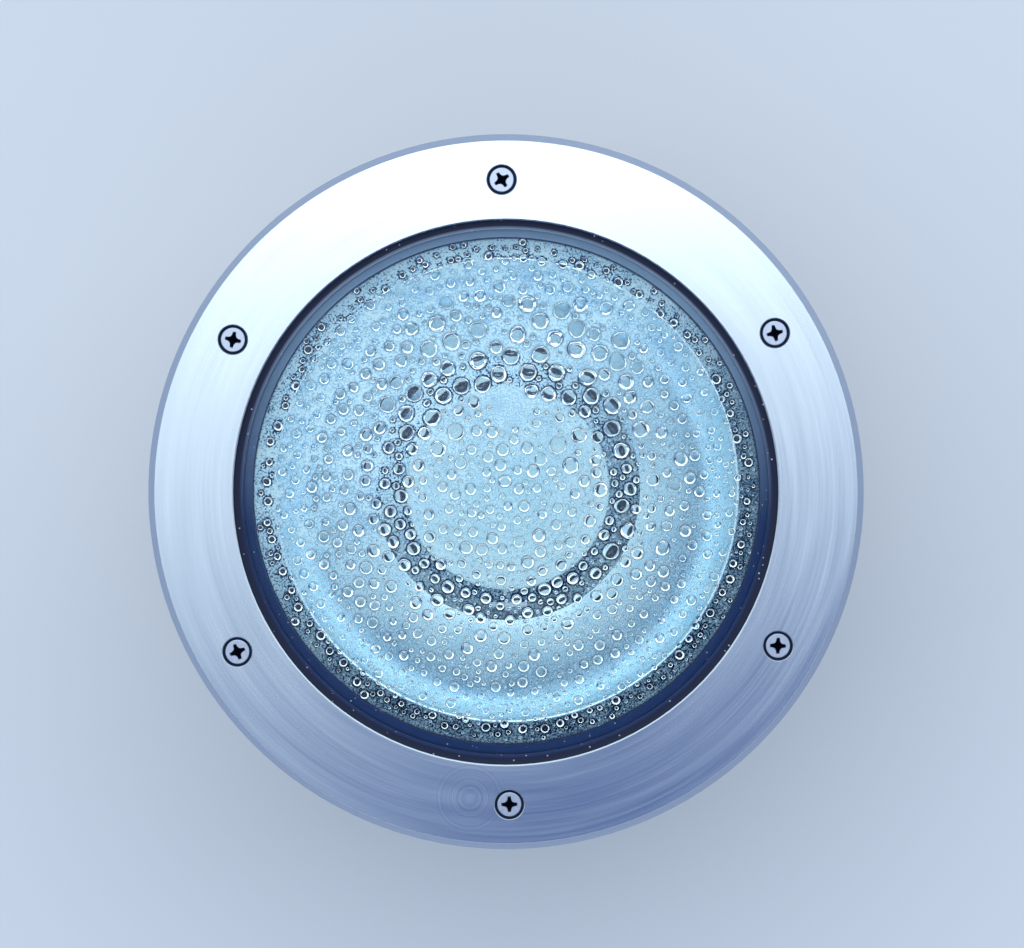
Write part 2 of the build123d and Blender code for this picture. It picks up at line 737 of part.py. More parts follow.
def earth_washer():
    low = pot_inside + EARTH_BOSS_HEIGHT
    ring = tube(EARTH_WASHER_R, EARTH_SCREW_R, low, low + EARTH_WASHER_THICK)
    return Pos(EARTH_X, EARTH_Y, 0) * ring


def earth_screw():
    seat = pot_inside + EARTH_BOSS_HEIGHT
    head = seat + EARTH_WASHER_THICK
    top = head + EARTH_HEAD_HEIGHT
    shape = rod(EARTH_SCREW_R, seat - EARTH_SCREW_LENGTH, head) + rod(EARTH_HEAD_R, head, top)
    shape = shape - block(2 * EARTH_HEAD_R, CLAMP_SLOT, top - CLAMP_SLOT * 2, top)
    return Pos(EARTH_X, EARTH_Y, 0) * shape


def earth_lead():
    """From the last pole of the terminal block to the edge of the earth washer."""
    start_x = BLOCK_LENGTH * (BLOCK_POLES - 1) / 2 / BLOCK_POLES
    start_y = BLOCK_Y - BLOCK_WIDTH / 2
    height = pot_inside + BLOCK_WIRE_HEIGHT
    end_y = EARTH_Y + EARTH_WASHER_R
    low = pot_inside + EARTH_BOSS_HEIGHT + EARTH_LEAD_R
    bend_y = (start_y + end_y) / 2
    points = [
        (start_x, start_y, height),
        (start_x, bend_y, height),
        (EARTH_X, bend_y, low),
        (EARTH_X, end_y, low),
    ]
    return cable(points, (start_y - bend_y) / 2, EARTH_LEAD_R)


def supply_leads():
    """From the middle pole of the terminal block up through the hollow pivot."""
    height = pot_inside + BLOCK_WIRE_HEIGHT
    points = [(0, BLOCK_Y - BLOCK_WIDTH / 2, height), (0, 0, height), (0, 0, bush_top)]
    return cable(points, LEAD_BEND, LEAD_R)


# ---- gear tray and pivot ------------------------------------------------------------------------

def gear_tray():
    tray = rod(tray_r, tray_under, tray_top) - rod(BUSH_R, tray_under, tray_top)
    hole = rod(TRAY_SCREW_R + TRAY_HOLE_CLEAR, tray_under, tray_top)
    tray = cut_by(tray, [around(hole, pillar_pitch_r, angle) for angle in third_turns])
    pin = rod(STOP_PIN_R, tray_under, tray_top + STOP_PIN_HEIGHT)
    return tray + around(pin, stop_pin_pitch_r, 180.0)


def tray_screws():
    head_top = tray_top + TRAY_HEAD_HEIGHT
    screw = rod(TRAY_SCREW_R, tray_under - TRAY_SCREW_LENGTH, tray_top)
    screw = screw + rod(TRAY_HEAD_R, tray_top, head_top)
    screw = screw - block(2 * TRAY_HEAD_R, CLAMP_SLOT, head_top - CLAMP_SLOT * 2, head_top)
    return group([around(screw, pillar_pitch_r, angle) for angle in third_turns])


def pivot_bush():
    shape = rod(BUSH_FLANGE_R, tray_under - BUSH_FLANGE_THICK, tray_under)
    shape = shape + rod(BUSH_R, tray_under, bush_top)
    return shape - rod(BUSH_BORE_R, tray_under - BUSH_FLANGE_THICK, bush_top)


def friction_washer():
    return tube(FRICTION_WASHER_R, BUSH_R + WASHER_GAP, tray_top, yoke_under)


def spring_washer():
    return tube(SPRING_WASHER_R, BUSH_R + WASHER_GAP, yoke_base_top, bush_nut_under)


def bush_nut():
    top = bush_nut_under + BUSH_NUT_THICK
    return hexagon(BUSH_NUT_HEX, bush_nut_under, top) - rod(BUSH_R, bush_nut_under, top)


# ---- swivel: yoke, its lock screw, the lead to the lamp -------------------------------------------

def swivel_yoke():
    base = block(2 * yoke_half, YOKE_BASE_WIDTH, yoke_under, yoke_base_top)
    arm = Pos(yoke_half - YOKE_THICK / 2, 0, 0) * block(
        YOKE_THICK, YOKE_ARM_WIDTH, yoke_under, tilt_level
    )
    crown = along_x(Cylinder(YOKE_ARM_WIDTH / 2, YOKE_THICK))
    arm = arm + Pos(yoke_half - YOKE_THICK / 2, 0, tilt_level) * crown
    slot = along_x(extrude(SlotOverall(YOKE_SLOT_LENGTH, YOKE_SLOT_WIDTH), 2 * YOKE_THICK))
    slot_level = (yoke_base_top + tilt_level) / 2
    arm = arm - Pos(arm_inside - YOKE_THICK / 2, 0, slot_level) * slot
    arm = arm - Pos(yoke_half, 0, tilt_level) * along_x(
        Cylinder(PIVOT_R + RUNNING_GAP, 4 * YOKE_THICK)
    )
    tab_end = stop_pin_pitch_r + STOP_PIN_R
    tab_length = tab_end - arm_inside
    tab = Pos(tab_end - tab_length / 2, 0, 0) * block(
        tab_length, STOP_TAB_WIDTH, yoke_under, yoke_base_top
    )
    shape = merged(base, [arm, Rot(0, 0, 180) * arm, tab])
    shape = shape - rod(BUSH_R + RUNNING_GAP, yoke_under, yoke_base_top)
    corner = shape.edges().filter_by(Axis.Y).filter_by_position(Axis.Z, yoke_under, yoke_under)
    outer = [edge for edge in corner if abs(abs(edge.center().X) - yoke_half) < STOP_PIN_R]
    hole_r = LOCK_SCREW_R + RUNNING_GAP
    hole = Pos(lock_screw_x, 0, 0) * rod(hole_r, yoke_under, yoke_base_top)
    return fillet(outer, YOKE_THICK - YOKE_CREASE) - hole


def swivel_lock_screw():
    head = yoke_base_top + LOCK_HEAD_LIFT
    shape = rod(LOCK_SCREW_R, tray_top, head) + knurled(LOCK_HEAD_R, head, head + LOCK_HEAD_HEIGHT)
    return Pos(lock_screw_x, 0, 0) * shape


def lamp_leads():
    """Loop from the top of the hollow pivot to the side of the lampholder."""
    entry = holder_under + LEAD_ENTRY_HEIGHT
    low = bush_top + LEAD_BEND
    end = holder_r - LEAD_ENTRY_DEPTH / 2
    points = [(0, 0, bush_top), (0, 0, low), (LEAD_LOOP_X, 0, low)]
    points += [(LEAD_LOOP_X, 0, entry), (end, 0, entry)]
    room = (entry - low) / 2
    return cable(points, min(LEAD_BEND, room) - THREAD_GAP, LEAD_R)


# ---- tilting head: gimbal ring, cradle, lampholder --------------------------------------------------

def gimbal_ring():
    boss = Pos(0, 0, tilt_level) * along_x(Cylinder(PIVOT_BOSS_R, 2 * boss_end))
    thread_r = PIVOT_THREAD_R + RUNNING_GAP
    thread = Pos(0, 0, tilt_level) * along_x(Cylinder(thread_r, 2 * boss_end))
    shape = rod(gimbal_r, gimbal_low, gimbal_high) + boss - thread
    shape = shape - rod(gimbal_in, gimbal_low - ROOT, gimbal_high + ROOT)
    rivet = Rot(90, 0, 0) * Cylinder(RIVET_R, 4 * gimbal_r)
    return cut_by(shape, [Pos(0, 0, level) * rivet for level in rivet_levels()])


def rivet_levels():
    return [tilt_level - RIVET_STEP / 2, tilt_level + RIVET_STEP / 2]


def pivot_screw(head):
    """Shoulder screw through a yoke arm into the gimbal ring, on the tilt axis towards +X."""
    shape = rod(PIVOT_THREAD_R, boss_end - PIVOT_THREAD_LENGTH, boss_end)
    shape = shape + rod(PIVOT_R, boss_end, yoke_half + THREAD_GAP) + head
    return Pos(0, 0, tilt_level) * along_x(shape)


def tilt_pivot_screw():
    start = yoke_half + THREAD_GAP
    end = start + PIVOT_HEAD_HEIGHT
    head = rod(PIVOT_HEAD_R, start, end)
    head = head - block(2 * PIVOT_HEAD_R, CLAMP_SLOT * 2, end - CLAMP_SLOT * 2, end)
    return Rot(0, 0, 180) * pivot_screw(head)


def tilt_lock_knob():
    start = yoke_half + THREAD_GAP
    return pivot_screw(knurled(KNOB_R, start, start + KNOB_LENGTH))


def holder_cradle():
    inner = holder_r + CRADLE_GAP
    outer = inner + CRADLE_THICK
    ring_out = gimbal_r + CRADLE_THICK
    knee = holder_top + CRADLE_KNEE
    shoulder = gimbal_low - CRADLE_SHOULDER
    top = gimbal_high - CRADLE_TOP_GAP
    half = [
        (outer, cradle_under),
        (outer, knee),
        (ring_out, shoulder),
        (ring_out, top),
        (gimbal_r, top),
        (gimbal_r, shoulder + CRADLE_THICK / 4),
        (inner, knee + CRADLE_THICK / 4),
        (inner, holder_under),
    ]
    mirrored = [(-y, z) for y, z in reversed(half)]
    outline = make_face(Polyline([(0, y, z) for y, z in half + mirrored], close=True))
    shape = extrude(outline, CRADLE_WIDTH / 2, dir=(1, 0, 0), both=True)
    rivet = Rot(90, 0, 0) * Cylinder(RIVET_R, 4 * gimbal_r)
    shape = cut_by(shape, [Pos(0, 0, level) * rivet for level in rivet_levels()])
    wing = 2 * (HOLDER_SCREW_X + HOLDER_HEAD_R)
    shape = shape + block(wing, CRADLE_WIDTH, cradle_under, holder_under)
    screw = rod(HOLDER_SCREW_R, cradle_under, holder_under)
    return cut_by(shape, [Pos(x, 0, 0) * screw for x in (-HOLDER_SCREW_X, HOLDER_SCREW_X)])


def cradle_rivets():
    head_end = gimbal_r + CRADLE_THICK + RIVET_HEAD_HEIGHT
    head_start = gimbal_in - RIVET_HEAD_HEIGHT
    rivet = rod(RIVET_R, head_start, head_end)
    rivet = rivet + rod(RIVET_HEAD_R, gimbal_r + CRADLE_THICK, head_end)
    rivet = rivet + rod(RIVET_HEAD_R, head_start, gimbal_in - RIVET_SEAT)
    lying = along_x(rivet)
    return group([
        Rot(0, 0, side) * Pos(0, 0, level) * lying
        for side in (90, 270)
        for level in rivet_levels()
    ])


def lampholder():
    pocket = lamp_tip
    shape = turned([
        (0, holder_under),
        (holder_r - HOLDER_FOOT, holder_under),
        (holder_r, holder_under + HOLDER_FOOT),
        (holder_r, holder_top - HOLDER_MOUTH),
        (holder_bore_r + HOLDER_LIP, holder_top),
        (holder_bore_r, holder_top),
        (holder_bore_r, pocket - THREAD_GAP),
        (HOLDER_POCKET_R, pocket - THREAD_GAP),
        (HOLDER_POCKET_R, pocket - HOLDER_POCKET_DEPTH),
        (0, pocket - HOLDER_POCKET_DEPTH),
    ])
    entry = along_x(rod(LEAD_ENTRY_R, holder_r - LEAD_ENTRY_DEPTH, holder_r + ROOT))
    shape = shape - Pos(0, 0, holder_under + LEAD_ENTRY_HEIGHT) * entry
    screw = rod(HOLDER_SCREW_R, holder_under, holder_under + HOLDER_SCREW_DEPTH)
    return cut_by(shape, [Pos(x, 0, 0) * screw for x in (-HOLDER_SCREW_X, HOLDER_SCREW_X)])


def holder_shell():
    inner = CAP_R + SHELL_GAP
    flange = tube(holder_bore_r, inner, lamp_tip + CONTACT_HEIGHT, lamp_tip + 2 * CONTACT_HEIGHT)
    wall = tube(inner + SHELL_WALL, inner, lamp_tip + CONTACT_HEIGHT, holder_top - HOLDER_OVER_CAP)
    return wall + flange


def holder_contact():
    return rod(HOLDER_CONTACT_R, lamp_tip - HOLDER_POCKET_DEPTH, lamp_tip)


def holder_screws():
    low = cradle_under - HOLDER_HEAD_HEIGHT
    screw = rod(HOLDER_SCREW_R, cradle_under, holder_under + HOLDER_SCREW_DEPTH)
    screw = screw + rod(HOLDER_HEAD_R, low, cradle_under)
    screw = screw - block(2 * HOLDER_HEAD_R, CLAMP_SLOT, low, low + CLAMP_SLOT * 2)
    return group([Pos(x, 0, 0) * screw for x in (-HOLDER_SCREW_X, HOLDER_SCREW_X)])


# ---- lamp ----------------------------------------------------------------------------------------

def lamp_lens():
    back = lamp_front - LENS_THICK
    field = lamp_front - LENS_RIB_HEIGHT
    flat_r = LAMP_R - LENS_RIM
    ribs = int(flat_r / LENS_RIB_PITCH)
    points = [(0, back), (LAMP_R, back), (LAMP_R, field), (LAMP_R - LENS_RIB_HEIGHT, lamp_front)]
    points += [(flat_r, lamp_front), (flat_r - LENS_RIB_HEIGHT, field)]
    for i in range(ribs - 1, 0, -1):
        middle = i * LENS_RIB_PITCH
        points.append((middle + LENS_RIB_HALF, field))
        points.append((middle, lamp_front))
        points.append((middle - LENS_RIB_HALF, field))
    points.append((0, field))
    return turned(points)


def lamp_bowl():
    neck_low = cap_top
    neck_high = neck_low + NECK_LENGTH
    rim = lamp_front - LENS_THICK
    rim_r = LAMP_R - BOWL_EDGE - BOWL_WALL
    neck_in = NECK_R - BOWL_WALL
    face, outer = bulged((neck_in, neck_high), (rim_r, rim), BOWL_SAG, BOWL_WALL)
    bowl = revolve(face, Axis.Z)
    bowl = bowl & rod(2 * LAMP_R, neck_low, rim)
    neck = turned([
        (0, neck_low),
        (CAP_R - THREAD_GAP, neck_low),
        (outer[0][0], outer[0][1]),
        (neck_in, neck_high),
        (neck_in, neck_low + NECK_PLUG),
        (0, neck_low + NECK_PLUG),
    ])
    return bowl + neck


def lamp_capsule():
    low = cap_top + NECK_PLUG
    high = low + CAPSULE_LENGTH - CAPSULE_R
    pinch = block(2 * CAPSULE_R, CAPSULE_R, low, low + CAPSULE_R)
    return pinch + rod(CAPSULE_R, low + CAPSULE_R, high) + Pos(0, 0, high) * Sphere(CAPSULE_R)


def lamp_cap():
    root = CAP_R - CAP_THREAD_DEPTH
    points = [(0, cap_bottom), (root, cap_bottom)]
    start = cap_bottom + CAP_THREAD_PITCH
    for i in range(CAP_THREADS):
        level = start + CAP_THREAD_PITCH * i
        points.append((root, level - CAP_THREAD_FOOT))
        points.append((CAP_R, level - CAP_THREAD_CREST))
        points.append((CAP_R, level + CAP_THREAD_CREST))
        points.append((root, level + CAP_THREAD_FOOT))
    points += [(CAP_R - THREAD_GAP, cap_top - CAP_RIM)]
    points += [(CAP_R - THREAD_GAP, cap_top), (0, cap_top)]
    return turned(points)


def lamp_insulator():
    low = lamp_tip + CONTACT_HEIGHT
    return turned([(0, low), (INSULATOR_TIP_R, low), (INSULATOR_R, cap_bottom), (0, cap_bottom)])


def lamp_contact():
    return rod(CONTACT_R, lamp_tip, lamp_tip + CONTACT_HEIGHT)


# ---- reflector -------------------------------------------------------------------------------------

def reflector():
    start = (reflector_neck_r, reflector_neck)
    end = (reflector_rim_r - REFLECTOR_BEAD_R, reflector_rim)
    face, outer = bulged(start, end, REFLECTOR_SAG, REFLECTOR_WALL)
    cone = revolve(face, Axis.Z)
    spigot_out = reflector_neck_r + REFLECTOR_WALL
    low = reflector_neck - REFLECTOR_SPIGOT
    spigot = turned([
        (reflector_neck_r, low),
        (spigot_out, low),
        (spigot_out, outer[0][1]),
        (outer[0][0], outer[0][1]),
        (reflector_neck_r, reflector_neck),
    ])
    circle = Pos(end[0], 0, end[1]) * Rot(90, 0, 0) * Circle(REFLECTOR_BEAD_R)
    return cone + spigot + revolve(circle, Axis.Z)


def reflector_carrier():
    hole_r = reflector_neck_r + REFLECTOR_WALL + CARRIER_GAP
    plate = tube(carrier_r, hole_r, carrier_under, carrier_top)
    hole = rod(CARRIER_SCREW_R, carrier_under, carrier_top)
    return cut_by(plate, [around(hole, carrier_pitch_r, angle) for angle in third_turns])


def carrier_screws():
    head_top = carrier_top + CARRIER_HEAD_HEIGHT
    screw = rod(CARRIER_SCREW_R, carrier_under - CARRIER_SCREW_LENGTH, carrier_top)
    screw = screw + rod(CARRIER_HEAD_R, carrier_top, head_top)
    screw = screw - block(2 * CARRIER_HEAD_R, CLAMP_SLOT, head_top - CLAMP_SLOT * 2, head_top)
    return group([around(screw, carrier_pitch_r, angle) for angle in third_turns])


def reflector_retainer():
    inner = reflector_neck_r + REFLECTOR_WALL
    return tube(inner + RETAINER_WIDTH, inner, carrier_under - RETAINER_THICK, carrier_under)


# ---- installation sleeve -----------------------------------------------------------------------------

def installation_sleeve():
    wall_out = sleeve_r - SLEEVE_RIB
    wall_in = wall_out - SLEEVE_WALL
    top = paving_level - SLEEVE_TOP_GAP
    step = boss_under - SLEEVE_STEP_CLEAR
    ease = SLEEVE_RIB
    shape = turned([
        (SLEEVE_DRAIN_R, 0),
        (sleeve_r, 0),
        (sleeve_r, SLEEVE_LOW_BAND),
        (wall_out, SLEEVE_LOW_BAND + ease),
        (wall_out, top - SLEEVE_TOP_BAND - ease),
        (sleeve_r, top - SLEEVE_TOP_BAND),
        (sleeve_r, top),
        (mouth_r, top),
        (mouth_r, step),
        (wall_in, step - ease),
        (wall_in, SLEEVE_FLOOR),
        (SLEEVE_DRAIN_R, SLEEVE_FLOOR),
    ])
    rib_depth = SLEEVE_RIB + SLEEVE_WALL / 2
    rib = block(rib_depth, SLEEVE_RIB_THICK, SLEEVE_LOW_BAND / 2, top - SLEEVE_TOP_BAND)
    ribs = [
        around(rib, sleeve_r - rib_depth / 2, 360.0 / SLEEVE_RIB_COUNT * (i + 0.5))
        for i in range(SLEEVE_RIB_COUNT)
    ]
    outline = rod(sleeve_r, 0, top)
    lug_in = head_wall_r + LUG_CLEAR
    face = sleeve_r - CONDUIT_SET
    lug_ring = tube((mouth_r + sleeve_r) / 2, lug_in, step - ease, flange_under)
    lug = block(2 * (sleeve_r - lug_in), LUG_WIDTH, step - ease, flange_under)
    lugs = [
        around(lug, lug_in, angle + 180.0 / SCREW_COUNT) & lug_ring for angle in screw_angles
    ]
    socket = along_x(rod(CONDUIT_R + CONDUIT_WALL, face - CONDUIT_LENGTH, face))
    bore = along_x(rod(CONDUIT_R, face - CONDUIT_LENGTH - ROOT, sleeve_r + ROOT))
    sides = [Rot(0, 0, turn) * Pos(0, 0, CONDUIT_HEIGHT) for turn in (0, 180)]
    shape = merged(shape, [rib & outline for rib in ribs] + lugs + [side * socket for side in sides])
    anchor = rod(ANCHOR_HOLE_R, 0, SLEEVE_FLOOR)
    holes = [side * bore for side in sides]
    holes += [
        around(anchor, sleeve_r - ANCHOR_INSET, 360.0 / ANCHOR_COUNT * (i + 0.5))
        for i in range(ANCHOR_COUNT)
    ]
    return cut_by(shape, holes)


# ---- the pieces, each in its own file -------------------------------------------------------------------

PIECES = [
    installation_sleeve,
    housing,
    gland_body,
    gland_seal,
    gland_nut,
    entry_rings,
    entry_lock_nuts,
    blanking_plug,
    gear_tray,
    tray_screws,
    pivot_bush,
    friction_washer,
    spring_washer,
    bush_nut,
    terminal_block,
    terminal_screws,
    terminal_fixings,
    earth_washer,
    earth_screw,
    earth_lead,
    supply_leads,
    reflector,
    reflector_carrier,
    carrier_screws,
    reflector_retainer,
    trim_ring,
    cover_screws,
    glass,
    gasket,
    swivel_yoke,
    swivel_lock_screw,
    lamp_leads,
    gimbal_ring,
    tilt_pivot_screw,
    tilt_lock_knob,
    holder_cradle,
    cradle_rivets,
    lampholder,
    holder_shell,
    holder_contact,
    holder_screws,
    lamp_lens,
    lamp_bowl,
    lamp_capsule,
    lamp_cap,
    lamp_insulator,
    lamp_contact,
]

os.makedirs("parts", exist_ok=True)
for piece in PIECES:
    save(piece.__name__, piece())
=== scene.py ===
import json
from math import cos, pi, radians, sin, tau

import bmesh
import bpy
from mathutils import Matrix, Vector


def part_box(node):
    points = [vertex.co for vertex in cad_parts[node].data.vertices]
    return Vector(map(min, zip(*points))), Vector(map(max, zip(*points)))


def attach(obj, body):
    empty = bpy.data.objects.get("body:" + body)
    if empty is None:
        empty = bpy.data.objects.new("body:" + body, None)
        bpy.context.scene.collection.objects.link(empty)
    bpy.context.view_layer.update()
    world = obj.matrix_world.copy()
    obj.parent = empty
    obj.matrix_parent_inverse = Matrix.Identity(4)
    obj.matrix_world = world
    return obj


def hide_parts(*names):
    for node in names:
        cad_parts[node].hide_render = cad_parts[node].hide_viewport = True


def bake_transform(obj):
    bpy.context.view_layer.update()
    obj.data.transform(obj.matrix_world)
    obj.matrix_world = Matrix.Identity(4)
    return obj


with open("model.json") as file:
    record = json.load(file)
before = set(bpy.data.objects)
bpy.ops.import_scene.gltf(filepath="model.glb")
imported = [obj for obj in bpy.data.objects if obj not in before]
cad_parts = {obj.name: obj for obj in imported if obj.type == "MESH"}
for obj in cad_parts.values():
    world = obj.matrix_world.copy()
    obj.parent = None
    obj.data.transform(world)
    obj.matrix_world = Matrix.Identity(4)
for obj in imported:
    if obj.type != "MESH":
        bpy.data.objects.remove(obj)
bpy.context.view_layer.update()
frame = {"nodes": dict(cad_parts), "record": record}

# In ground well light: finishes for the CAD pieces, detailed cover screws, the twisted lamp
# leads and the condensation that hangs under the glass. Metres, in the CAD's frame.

# ---- sizes --------------------------------------------------------------------------------

MM = 0.001
RING_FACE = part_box("trim_ring")[1].z
GLASS_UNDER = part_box("glass")[0].z
SCREW_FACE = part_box("cover_screws")[1].z
SCREW_CIRCLE = 96 * MM
SCREW_TURN = 30.7                             # degrees, of the first screw
CROSS_TURNS = [13.0, 33.0, 77.0, 22.0, 1.0, 88.0]    # degrees, of each screw's recess
CHAMFER_EDGE = (107.85 * MM, 108.05 * MM)     # where the ring's outer chamfer starts
SUNK_BAND = (87 * MM, 104 * MM)               # the band of the ring that holds countersinks
SWIRL_AT = (-11 * MM, -94 * MM)               # middle of the trial cut on the ring
LIP_EDGE = (82.0 * MM, 80.6 * MM)             # inside this the gasket lies under the glass
FIELD_R = 78.4 * MM                           # radius of the glass that carries drops
DROP_GAP = 0.02 * MM                          # the drops hang this far below the glass
FILM_GAP = 0.16 * MM                          # the mist hangs among the drops' tops
FILM_TOP = GLASS_UNDER - FILM_GAP
FILM_THICK = 0.004 * MM
MIST_CLEAR = 0.45 * MM                        # the mist is at its full this far from a drop

# Cover screw, in millimetres.
HEAD_R = 3.75
HEAD_EDGE = 0.25                              # depth of the head's upright edge
HEAD_CONE = 1.8                               # height of the countersunk cone
SHANK_END = 3.0
SCREW_LENGTH = 16.0
THREAD_START = 2.4
THREAD_R = 1.95
THREAD_DEPTH = 0.4
THREAD_PITCH = 0.7


# ---- helpers ------------------------------------------------------------------------------

def linear(colour):
    """An sRGB hex colour as linear red, green, blue and alpha."""
    parts = [int(colour[i:i + 2], 16) / 255 for i in (1, 3, 5)]
    return [p / 12.92 if p <= 0.04045 else ((p + 0.055) / 1.055) ** 2.4 for p in parts] + [1.0]


def add(tree, kind, inputs=None, **settings):
    """Adds a node with its settings. An input takes a value, a node or one of its outputs."""
    node = tree.nodes.new(kind)
    for name, value in settings.items():
        setattr(node, name, value)
    for key, value in (inputs or {}).items():
        if isinstance(value, bpy.types.Node):
            value = value.outputs[0]
        if isinstance(value, bpy.types.NodeSocket):
            tree.links.new(value, node.inputs[key])
        elif isinstance(value, str) and value.startswith("#"):
            node.inputs[key].default_value = linear(value)
        else:
            node.inputs[key].default_value = value
    return node


def new_material(name):
    """A new material with an empty tree."""
    made = bpy.data.materials.new(name)
    made.use_nodes = True
    made.node_tree.nodes.clear()
    return made, made.node_tree


def around_axis(tree, x=0.0, y=0.0):
    """The place on a piece, its distance and direction from an upright axis, and its height."""
    place = add(tree, "ShaderNodeMapping", {
        "Vector": add(tree, "ShaderNodeTexCoord").outputs["Object"], "Location": (-x, -y, 0)})
    parts = add(tree, "ShaderNodeSeparateXYZ", {"Vector": place})
    flat = add(tree, "ShaderNodeVectorMath", {0: place, 1: (1, 1, 0)}, operation="MULTIPLY")
    radius = add(tree, "ShaderNodeVectorMath", {0: flat}, operation="LENGTH").outputs["Value"]
    direction = add(tree, "ShaderNodeVectorMath", {0: flat}, operation="NORMALIZE")
    return place.outputs[0], radius, direction.outputs[0], parts.outputs["Z"]


def piece(name, mesh, body=None):
    """A scene object at the origin, which may ride on a body."""
    made = bpy.data.objects.new(name, mesh)
    bpy.context.scene.collection.objects.link(made)
    if body:
        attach(made, body)
    return made


def mesh_of(name, points, faces, sharp=()):
    """A smooth mesh from points in millimetres; the faces whose index is in sharp stay flat."""
    mesh = bpy.data.meshes.new(name)
    mesh.from_pydata([tuple(c * MM for c in p) for p in points], [], faces)
    for face in mesh.polygons:
        face.use_smooth = face.index not in sharp
    mesh.update()
    return mesh


def loft(rings, start=None, end=None):
    """Points and faces of a skin over rings of equal count, closed at a start and an end point."""
    count = len(rings[0])
    points = [p for ring in rings for p in ring]
    faces = []
    for k in range(len(rings) - 1):
        for i in range(count):
            j = (i + 1) % count
            faces.append((k * count + i, k * count + j, (k + 1) * count + j, (k + 1) * count + i))
    for tip, k, step in ((start, 0, -1), (end, len(rings) - 1, 1)):
        if tip is not None:
            points.append(tip)
            for i in range(count):
                pair = (k * count + i, k * count + (i + 1) % count)
                faces.append((pair[::step] + (len(points) - 1,)))
    return points, faces


def geometry_tree(name, sockets):
    """A Geometry Nodes tree with named inputs."""
    tree = bpy.data.node_groups.new(name, "GeometryNodeTree")
    tree.interface.new_socket("Geometry", in_out="OUTPUT", socket_type="NodeSocketGeometry")
    tree.interface.new_socket("Geometry", in_out="INPUT", socket_type="NodeSocketGeometry")
    for label, kind in sockets.items():
        tree.interface.new_socket(label, in_out="INPUT", socket_type="NodeSocket" + kind)
    return tree, add(tree, "NodeGroupInput").outputs


def grown(name, tree, start, values):
    """A plain mesh made by a tree from a start mesh and named input values."""
    host = piece(name, start)
    modifier = host.modifiers.new("tree", "NODES")
    modifier.node_group = tree
    for item in tree.interface.items_tree:
        if item.in_out == "INPUT" and item.name in values:
            modifier[item.identifier] = values[item.name]
    graph = bpy.context.evaluated_depsgraph_get()
    mesh = bpy.data.meshes.new_from_object(
        host.evaluated_get(graph), preserve_all_data_layers=True, depsgraph=graph)
    bpy.data.objects.remove(host)
    mesh.name = name
    return mesh


# ---- finishes -----------------------------------------------------------------------------

